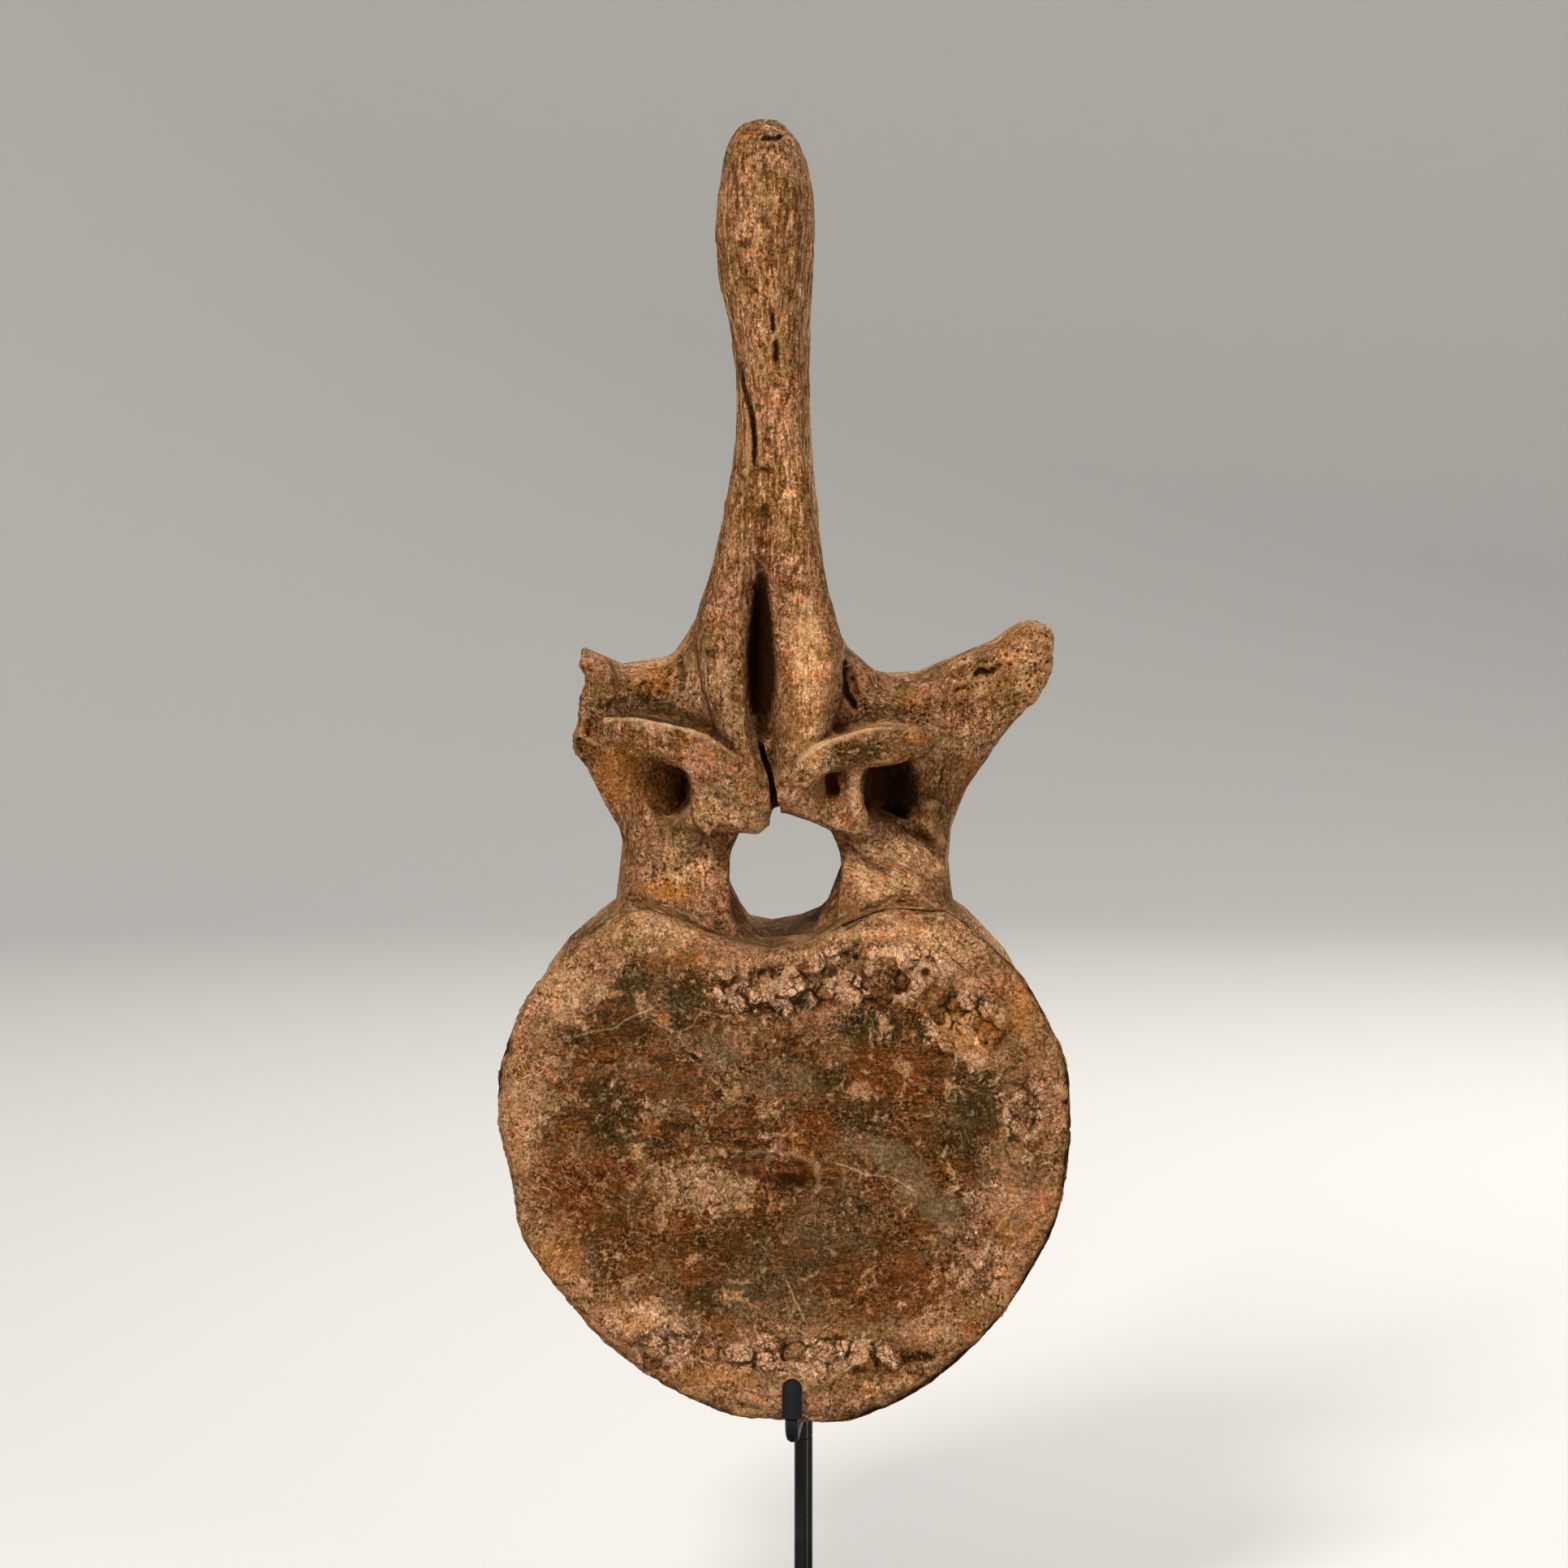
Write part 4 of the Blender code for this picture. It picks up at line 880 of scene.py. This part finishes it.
def neighbour_means(values, edges, rounds):
    """The values evened out along the edges that many times."""
    count = len(values)
    ends = np.concatenate((edges[:, 0], edges[:, 1]))
    others = np.concatenate((edges[:, 1], edges[:, 0]))
    degree = np.bincount(ends, minlength=count)[:, None]
    for step in range(rounds):
        sums = [np.bincount(ends, values[others, k], count) for k in range(values.shape[1])]
        values = 0.5 * values + 0.5 * np.stack(sums, axis=1) / degree
    return values


def hollows(bone, points, normals, rounds, full):
    """How hollow the surface is at each point: 0.5 is flat, 0 a crest and 1 a hollow."""
    edges = np.zeros(len(bone.data.edges) * 2, dtype=np.int64)
    bone.data.edges.foreach_get("vertices", edges)
    evened = neighbour_means(points, edges.reshape(-1, 2), rounds)
    inward = np.einsum("ij,ij->i", evened - points, normals)
    return np.clip(0.5 + 0.5 * inward / full, 0.0, 1.0)


def nearest_line(spots, lines):
    """Signed distance to the nearest line as 0 to 1 with 0.5 on it, and how near it is."""
    best = np.full(len(spots), FAR)
    signed = np.zeros(len(spots))
    for line in lines:
        gap, side = line_distance(spots, line)
        closer = gap < best
        best[closer] = gap[closer]
        signed[closer] = (gap * side)[closer]
    across = np.clip(0.5 + 0.5 * signed / LINE_REACH, 0.0, 1.0)
    return across, rise(best, LINE_REACH, LINE_REACH / 2)


def soft_box(x, z, left, right, foot, top, fall=0.0, fall_from=0.0):
    """How far each (x, z) lies in a soft box, whose foot falls to the right of an x."""
    lifted = z + fall * (x - fall_from)
    return (rise(x, *left) * rise(x, *right)
            * rise(lifted, *foot) * rise(z, *top))


def deep_shade(points):
    """How much painted shade the deep places of the arch, the spine and the drum get, from 0 to 1.
    """
    x, y, z = points.T
    sunk = rise(y, *DEEP_SHADE_DEPTH)
    from_top, from_foot = GROOVE_SWELL
    half_width = GROOVE_WIDTH + GROOVE_WIDER * rise(z, *from_top) * rise(z, *from_foot)
    wider, narrower = GROOVE_BORDER
    top, foot = GROOVE_ENDS
    across = np.abs(x - GROOVE_X)
    groove = rise(across, half_width + wider, half_width * narrower)
    aside, along = NECK_EDGES
    dark = {
        "left": soft_box(x, z, *LEFT_HOLLOW) * sunk,
        "right": soft_box(x, z, *RIGHT_HOLLOW, RIGHT_FALL, RIGHT_FALL_FROM) * sunk,
        "small": soft_round(x, z, *SMALL_HOLLOW),
        "foot": rise(line_distance(points[:, [0, 2]], FOOT_LINE)[0], *FOOT_EDGE),
        "neck": rise(across, *aside) * rise(np.abs(z - NECK_HEIGHT), *along),
        "crater": soft_round(x, z, *CRATER) * rise(y, *CRATER_DEPTH),
    }
    shares = [share * dark[name] for name, share in DEEP_SHADE_SHARES.items()]
    return np.maximum.reduce([groove * rise(z, *top) * rise(z, *foot), *shares])


def shade_over_rims(points):
    """How dark the painted shade in the crease over the rims of the joint faces is, from 0 to 1."""
    y = points[:, 1]
    reach = CREASE_REACH + CREASE_SLOPE * np.clip(y - LIP_REAR, 0.0, None)
    crease = np.zeros(len(points))
    for line, strength in zip(RIMS, CREASE_STRENGTHS):
        gap, side = line_distance(points[:, [0, 2]], line)
        over = strength * rise(gap * side, *CREASE_OVER)
        over *= rise(gap, reach + CREASE_BORDER, reach)
        crease = np.maximum(crease, over * rise(y, *CREASE_PLACE))
    return crease


def paint_masks(bone):
    """Attributes that tell the bone's material where each tone, and each painted shade and
    highlight, lies.
    """
    points, normals = points_and_normals(bone)
    x, y, z = points.T
    spots = points[:, [0, 2]]
    area = areas(points, normals)
    behind = area["behind"]
    away = 1.0 - behind
    masks = {name: area[name] for name in ("flaked", "fibre", "slant")}
    for name, patch_list, size, seed, edge, most in TONE_PATCHES:
        lumps = rise(noise_at(points, size, seed, TONE_OCTAVES), *edge)
        masks[name] = np.maximum(patches(spots, patch_list) * behind, most * away * lumps)
    masks["pale"] = np.maximum(masks["pale"], CREST_PALE * area["crest"])
    faces = np.maximum(area["face"], FRONT_INNER * area["front_face"])
    masks["inner"] = faces * patches(spots, INNER)
    masks["crust"] = area["flaked"] * crust(points)
    masks["pitted"] = np.maximum(area["pitted"], area["broken"])
    masks["bleached_and_lit"] = patches(spots, BLEACHED_AND_LIT)
    # how hollow each point is, for the painted shade in the hollows and the paler crests
    fine = hollows(bone, points, normals, *HOLLOWS_BEHIND) * behind
    fine += hollows(bone, points, normals, *HOLLOWS_AWAY) * away
    masks["hollow_fine"] = 0.5 + (fine - 0.5) * (1.0 - SIDE_CALM * area["drum_side"])
    broad = hollows(bone, points, normals, *HOLLOWS_BROAD)
    masks["hollow_broad"] = 0.5 + (broad - 0.5) * (1.0 - AWAY_CALM * away)
    # painted shade in the deep places
    masks["deep"] = deep_shade(points)
    # painted shade in the crease over the rims
    masks["crease"] = shade_over_rims(points)
    for name, lines, *looks in THREADS:
        masks[name + "_across"], near = nearest_line(spots, lines)
        # the rim lines are a painted highlight, strongest in the middle of each rim
        if name == "rim":
            from_middle = np.abs(np.abs(x - RIMS_MIDDLE) - RIM_MIDDLE)
            near *= rise(y, *RIM_LINE_PLACE) * rise(from_middle, *RIM_FADE)
        masks[name + "_near"] = near * behind
    for name, values in masks.items():
        layer = bone.data.attributes.new(name, "FLOAT", "POINT")
        layer.data.foreach_set("value", values.astype(np.float32))


def bone_piece():
    """The whole bone as one piece: fused, cleft, worn, carved, roughened and painted."""
    bone = fused_bone()
    cut_cleft(bone)
    smooth(bone, SMOOTH_ROUNDS)
    points, normals = points_and_normals(bone)
    x, y, z = points.T
    worn = patches(points[:, [0, 2]], WORN) * rise(-y, *WORN_PLACE)
    front_prongs = rise(y, *PRONG_PLACE) * rise(z, *PRONG_FOOT)
    front_prongs *= rise(z, *PRONG_TOP)
    smooth(bone, WORN_ROUNDS, np.maximum(worn, front_prongs))
    points, normals = points_and_normals(bone)
    set_points(bone, points - normals * SWELL + carve(points, normals))
    points, normals = points_and_normals(bone)
    set_points(bone, points + normals * relief(points, normals)[:, None])
    smooth(bone, LAST_SMOOTH_ROUNDS)
    thin(bone)
    paint_masks(bone)
    bone.data.shade_smooth()
    bone.data.materials.clear()
    bone.data.materials.append(bone_material())
    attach(bone, "root")
    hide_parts(*BONE_NODES)


# Materials

class Nodes:
    """A material's node tree, with short ways to add and join its nodes."""

    def __init__(self, name):
        self.material = bpy.data.materials.new(name)
        self.material.use_nodes = True
        self.tree = self.material.node_tree
        self.shader = self.tree.nodes["Principled BSDF"]
        self.fields = {}

    def add(self, kind, **settings):
        node = self.tree.nodes.new(kind)
        for name, value in settings.items():
            setattr(node, name, value)
        return node

    def put(self, value, socket):
        """A number or colour is set on the socket, and another socket is joined to it."""
        if isinstance(value, bpy.types.NodeSocket):
            self.tree.links.new(value, socket)
        else:
            socket.default_value = (*value, 1) if socket.type == "RGBA" else value

    def set_shader(self, **values):
        """Each of the shader's inputs, with _ for a space in its name, gets its value."""
        for name, value in values.items():
            self.put(value, self.shader.inputs[name.replace("_", " ")])

    def places(self, size, turn=0.0):
        """Object coordinates in cells of that size, turned by some degrees about Y."""
        coordinates = self.add("ShaderNodeTexCoord")
        mapping = self.add("ShaderNodeMapping", vector_type="TEXTURE")
        sizes = size if isinstance(size, tuple) else (size, size, size)
        mapping.inputs["Scale"].default_value = [length * MM for length in sizes]
        mapping.inputs["Rotation"].default_value = (0.0, radians(turn), 0.0)
        self.put(coordinates.outputs["Object"], mapping.inputs["Vector"])
        return mapping.outputs["Vector"]

    def texture(self, kind, places, values=(), **settings):
        """A texture node at those places, one cell to a unit, with its other inputs set."""
        texture = self.add(kind, **settings)
        for name, value in (("Vector", places), ("Scale", 1.0), *values):
            self.put(value, texture.inputs[name])
        return texture

    def noise(self, size, detail=3.0, roughness=0.55, distortion=0.0, turn=0.0):
        values = (("Detail", detail), ("Roughness", roughness), ("Distortion", distortion))
        texture = self.texture("ShaderNodeTexNoise", self.places(size, turn), values)
        return texture.outputs["Fac"]

    def cells(self, size):
        return self.texture("ShaderNodeTexVoronoi", self.places(size)).outputs["Distance"]

    def edges(self, size, shaken):
        """Distance to the nearest edge of uneven cells, whose edges are shaken by that many mm."""
        wobble = self.texture("ShaderNodeTexNoise", self.places(size * 0.7), (("Detail", 3.0),))
        shift = self.add("ShaderNodeVectorMath", operation="MULTIPLY_ADD")
        share = 2 * shaken / size
        for value, socket in zip((wobble.outputs["Color"], (share,) * 3, self.places(size)),
                                 shift.inputs):
            self.put(value, socket)
        texture = self.texture("ShaderNodeTexVoronoi", shift.outputs["Vector"],
                               feature="DISTANCE_TO_EDGE")
        return texture.outputs["Distance"]

    def attribute(self, name):
        return self.add("ShaderNodeAttribute", attribute_name=name).outputs["Fac"]

    def math(self, operation, first, second=0.0):
        node = self.add("ShaderNodeMath", operation=operation)
        self.put(first, node.inputs[0])
        self.put(second, node.inputs[1])
        return node.outputs["Value"]

    def product(self, first, *others):
        for other in others:
            first = self.math("MULTIPLY", first, other)
        return first

    def ramp(self, value, edge, span=(0.0, 1.0)):
        """The value's rise over a soft edge, clamped, as a rise over the span."""
        node = self.add("ShaderNodeMapRange", interpolation_type="SMOOTHSTEP")
        self.put(value, node.inputs["Value"])
        for name, number in zip(("From Min", "From Max", "To Min", "To Max"), (*edge, *span)):
            node.inputs[name].default_value = number
        return node.outputs["Result"]

    def between(self, share, first, second):
        """A value between two others."""
        node = self.add("ShaderNodeMix", data_type="FLOAT")
        for value, socket in zip((share, first, second), (0, 2, 3)):
            self.put(value, node.inputs[socket])
        return node.outputs[0]

    def mix(self, share, first, second, blend="MIX"):
        """A colour mixed into another."""
        node = self.add("ShaderNodeMix", data_type="RGBA", blend_type=blend)
        for value, socket in zip((share, first, second), (0, 6, 7)):
            self.put(value, node.inputs[socket])
        return node.outputs[2]

    def broken_mask(self, mask, texture, spread, edge):
        """A soft mask with its edge broken up by a texture, which is kept as a field."""
        shift = self.product(self.math("SUBTRACT", self.fields[texture], 0.5), spread * 4)
        shifted = self.math("ADD", self.attribute(mask), shift)
        self.fields[mask] = self.ramp(shifted, (0.5 - edge, 0.5 + edge))
        return self.fields[mask]

    def bump(self, height, distance, strength, under=None):
        node = self.add("ShaderNodeBump")
        node.inputs["Distance"].default_value = distance * MM
        node.inputs["Strength"].default_value = strength
        self.put(height, node.inputs["Height"])
        if under is not None:
            self.put(under, node.inputs["Normal"])
        return node.outputs["Normal"]

    def lay(self, tone, layers, *within):
        """Colours laid on the tone where their fields rise, and only within the other shares."""
        for field, edge, most, colour, *blend in layers:
            share = self.product(self.ramp(self.fields[field], edge, (0.0, most)), *within)
            tone = self.mix(share, tone, colour, *blend)
        return tone

    def paint(self, tone, mask, texture, spread, edge, most, colour):
        """A colour painted on a mask whose edge is broken up by a texture."""
        cover = self.broken_mask(mask, texture, spread, edge)
        return self.mix(self.product(cover, most), tone, colour)


def bone_material():
    """Mineralised bone: tan and brown, stained, flaked and veined, dry and matt, with painted shade
    and highlights.
    """
    masks = ("fibre", "slant", "flaked", "bleached_and_lit", "pitted", "hollow_fine", "hollow_broad")
    m = Nodes("fossil_bone_skin")
    f = m.fields
    f.update({name: m.noise(*row) for name, row in TEXTURES.items()})
    f.update({name: m.attribute(name) for name in masks})
    f["streak"] = m.between(f["slant"], f["upright"], f["slanted"])
    mottle_share, patch_share, lowered = RAGGED
    ragged = m.math("ADD", m.product(f["mottle"], mottle_share), m.product(f["patch"], patch_share))
    f["ragged"] = m.math("SUBTRACT", ragged, lowered)
    f["torn"] = m.between(m.product(f["fibre"], TORN), f["ragged"], f["streak"])

    tone = m.lay(m.mix(m.ramp(f["broad"], BASE_EDGE), TAN, PINK), BASE_LAYERS)
    face = m.lay(m.mix(m.ramp(f["run"], FACE_EDGE), FACE_DARK, FACE_RED), FACE_LAYERS)
    tone = m.paint(tone, *PAINTED_FACE, face)
    # the crease among these is painted shade over the rims
    for row in PAINTED:
        tone = m.paint(tone, *row)
    tone = m.lay(tone, HUE_LAYERS)
    tone = m.lay(tone, DARK_STREAKS, f["fibre"], m.ramp(f["slant"], (0.0, 1.0), STREAK_SHARES))
    tone = m.lay(tone, PALE_STREAKS, f["fibre"])

    bare = m.ramp(m.broken_mask(*CRUST_MASK), BED_BARE, (BED_MOST, 0.0))
    tone = m.mix(m.product(m.ramp(f["flaked"], BED_FLAKED), bare), tone, CRUST_BED)
    tone = m.mix(m.product(f["crust"], CRUST_MOST), tone, CRUST)
    tone = m.paint(tone, *PAINTED_AMBER)

    calm = m.product(*(m.ramp(f[name], edge, (1.0, left)) for name, edge, left in CALM))
    # Speck of the dust and grain fields, partly painted shade in their crevices and painted glints
    # on their tops
    tone = m.lay(tone, FINE_SPECK_SHADE_AND_GLINT_LAYERS)
    tone = m.lay(tone, GRAIN_SPECK_SHADE_AND_GLINT_LAYERS, calm)
    # paler bone, partly painted light on the top of the spine and the feet of the arch
    tone = m.mix(f["bleached_and_lit"], tone, BLEACH_AND_LIGHT, "MULTIPLY")
    small_plates = m.product(m.edges(*SMALL_PLATES), SMALL_PLATES_FAR)
    gap = m.ramp(m.math("MINIMUM", m.edges(*BIG_PLATES), small_plates), PLATE_GAP)
    cracks = m.product(gap, m.ramp(f["flaked"], PLATE_FLAKED),
                       m.ramp(f["patch"], PLATE_PATCH, (PLATE_LEAST, 1.0)))
    tone = m.mix(m.product(cracks, PLATE_MOST), tone, CRACK_AND_SHADE)
    pits = m.product(m.ramp(m.cells(PIT_SIZE), PIT_CELL), m.ramp(f["pitted"], PIT_MASK))
    tone = m.mix(m.product(pits, PIT_MOST), tone, CRACK_AND_SHADE)

    # Thin lines: pale veins, dark hairline cracks, painted shade in the slits and a painted
    # highlight on the rims
    for name, lines, colour, width, shaken, most, comes_and_goes in THREADS:
        shake = m.product(m.math("SUBTRACT", f["mottle"], 0.5), shaken)
        across = m.math("ADD", m.attribute(name + "_across"), shake)
        gap = m.math("ABSOLUTE", m.math("SUBTRACT", across, 0.5))
        span = [width * share for share in THREAD_SPAN]
        thread = m.product(m.ramp(gap, span), m.attribute(name + "_near"))
        if comes_and_goes:
            thread = m.product(thread, m.ramp(f["ragged"], THREAD_GAPS))
        tone = m.mix(m.product(thread, most), tone, colour)

    # Painted shade in the hollows and the deep places, and paler fine crests
    tone = m.paint(m.lay(tone, HOLLOW_SHADE_LAYERS), *PAINTED_DEEP_SHADE)
    deeper = m.add("ShaderNodeGamma")
    m.put(tone, deeper.inputs["Color"])
    m.put(CONTRAST, deeper.inputs["Gamma"])
    f["fibres"] = m.product(f["streak"], f["fibre"])
    f["holes"] = m.math("SUBTRACT", 1.0, pits)
    normal = None
    for name, distance, strength in BUMPS:
        normal = m.bump(f[name], distance, strength, normal)
    m.set_shader(
        Base_Color=m.mix(1.0, deeper.outputs["Color"], BALANCE, "MULTIPLY"),
        Roughness=m.ramp(f["mottle"], ROUGH_EDGE, BONE_ROUGHNESS),
        Specular_IOR_Level=BONE_SHEEN, Specular_Tint=BONE_SHEEN_TINT, Normal=normal)
    return m.material


def black_material(name, colour, rough, metallic, grain_size):
    """Satin black over steel or rubber, faintly uneven and dusty."""
    m = Nodes(name)
    grain = m.noise(grain_size, 4.0, 0.6)
    dust = m.ramp(m.noise(BLACK_DUST_SIZE, 4.0, 0.6), BLACK_DUST_EDGE, (0.0, BLACK_DUST_MOST))
    factor, offset = BLACK_DUST
    dusty = [channel * factor + offset for channel in colour]
    m.set_shader(
        Base_Color=m.mix(dust, colour, dusty),
        Roughness=m.ramp(grain, ROUGH_EDGE, [rough + varied for varied in BLACK_VARIES]),
        Metallic=metallic, Specular_IOR_Level=BLACK_SHEEN, Normal=m.bump(grain, *BLACK_BUMP))
    return m.material


# Stand

def dress_stand():
    """The stand keeps its solids, with a satin black finish on the steel and sleeves."""
    steel = black_material("satin_black_steel", STEEL, 0.42, 0.35, 0.9)
    rubber = black_material("black_sleeve_skin", RUBBER, 0.70, 0.0, 0.6)
    for name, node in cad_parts.items():
        if name.startswith("stand_"):
            finish = rubber if "sleeve" in name else steel
            node.data.materials.clear()
            node.data.materials.append(finish)


# Stage, light and camera

def stage():
    """A round pale floor that curves up into a low pale wall all round."""
    shape = bmesh.new()
    profile = [(0.0, 0.0), (FLOOR_RADIUS, 0.0)]
    for step in range(1, BEND_STEPS + 1):
        turn = pi / 2 * step / BEND_STEPS
        profile.append((FLOOR_RADIUS + BEND_RADIUS * sin(turn), BEND_RADIUS * (1 - cos(turn))))
    profile.append((FLOOR_RADIUS + BEND_RADIUS, WALL_HEIGHT))
    verts = [shape.verts.new((0.0, y, z)) for y, z in profile]
    edges = [shape.edges.new(pair) for pair in zip(verts, verts[1:])]
    bmesh.ops.spin(shape, geom=verts + edges, axis=(0, 0, 1), cent=(0, 0, 0), angle=2 * pi,
                   steps=ROUND_STEPS, use_merge=True)
    bmesh.ops.remove_doubles(shape, verts=shape.verts, dist=MERGE * MM)
    bmesh.ops.recalc_face_normals(shape, faces=shape.faces)
    bmesh.ops.reverse_faces(shape, faces=shape.faces)
    floor = new_piece("studio_floor", shape)
    floor.data.shade_smooth()
    m = Nodes("studio_paper")
    grain = m.noise(PAPER_GRAIN, 3.0, 0.6)
    m.set_shader(Roughness=m.ramp(grain, ROUGH_EDGE, PAPER_ROUGHNESS), Base_Color=PAPER)
    floor.data.materials.append(m.material)


def lamp(name, place, power, width, tint):
    """A square soft light at that place, turned to the bone."""
    light = bpy.data.lights.new(name, "AREA")
    light.energy = power
    light.size = width
    light.color = tint
    holder = bpy.data.objects.new(name, light)
    holder.location = place
    aim = Vector(AIM) * MM - Vector(place)
    holder.rotation_euler = aim.to_track_quat("-Z", "Y").to_euler()
    bpy.context.scene.collection.objects.link(holder)


def light_and_camera():
    """Four soft lamps, a dim sky, and the camera at the photograph's place."""
    bpy.context.scene.view_settings.view_transform = "Standard"
    for row in LAMPS:
        lamp(*row)
    world = bpy.data.worlds.new("studio")
    world.use_nodes = True
    sky = world.node_tree.nodes["Background"]
    sky.inputs["Color"].default_value = (*SKY, 1)
    sky.inputs["Strength"].default_value = SKY_STRENGTH
    bpy.context.scene.world = world
    tilt = radians(CAMERA_ELEVATION)
    lens = bpy.data.cameras.new("camera")
    lens.sensor_width = SENSOR
    lens.lens = SENSOR * CAMERA_DISTANCE / FRAME_WIDTH
    camera = bpy.data.objects.new("camera", lens)
    away = Vector((0.0, -cos(tilt), sin(tilt)))
    camera.location = (Vector(AIM) + away * CAMERA_DISTANCE) * MM
    camera.rotation_euler = (pi / 2 - tilt, 0.0, 0.0)
    bpy.context.scene.collection.objects.link(camera)
    bpy.context.scene.camera = camera


light_and_camera()
stage()
bone_piece()
dress_stand()
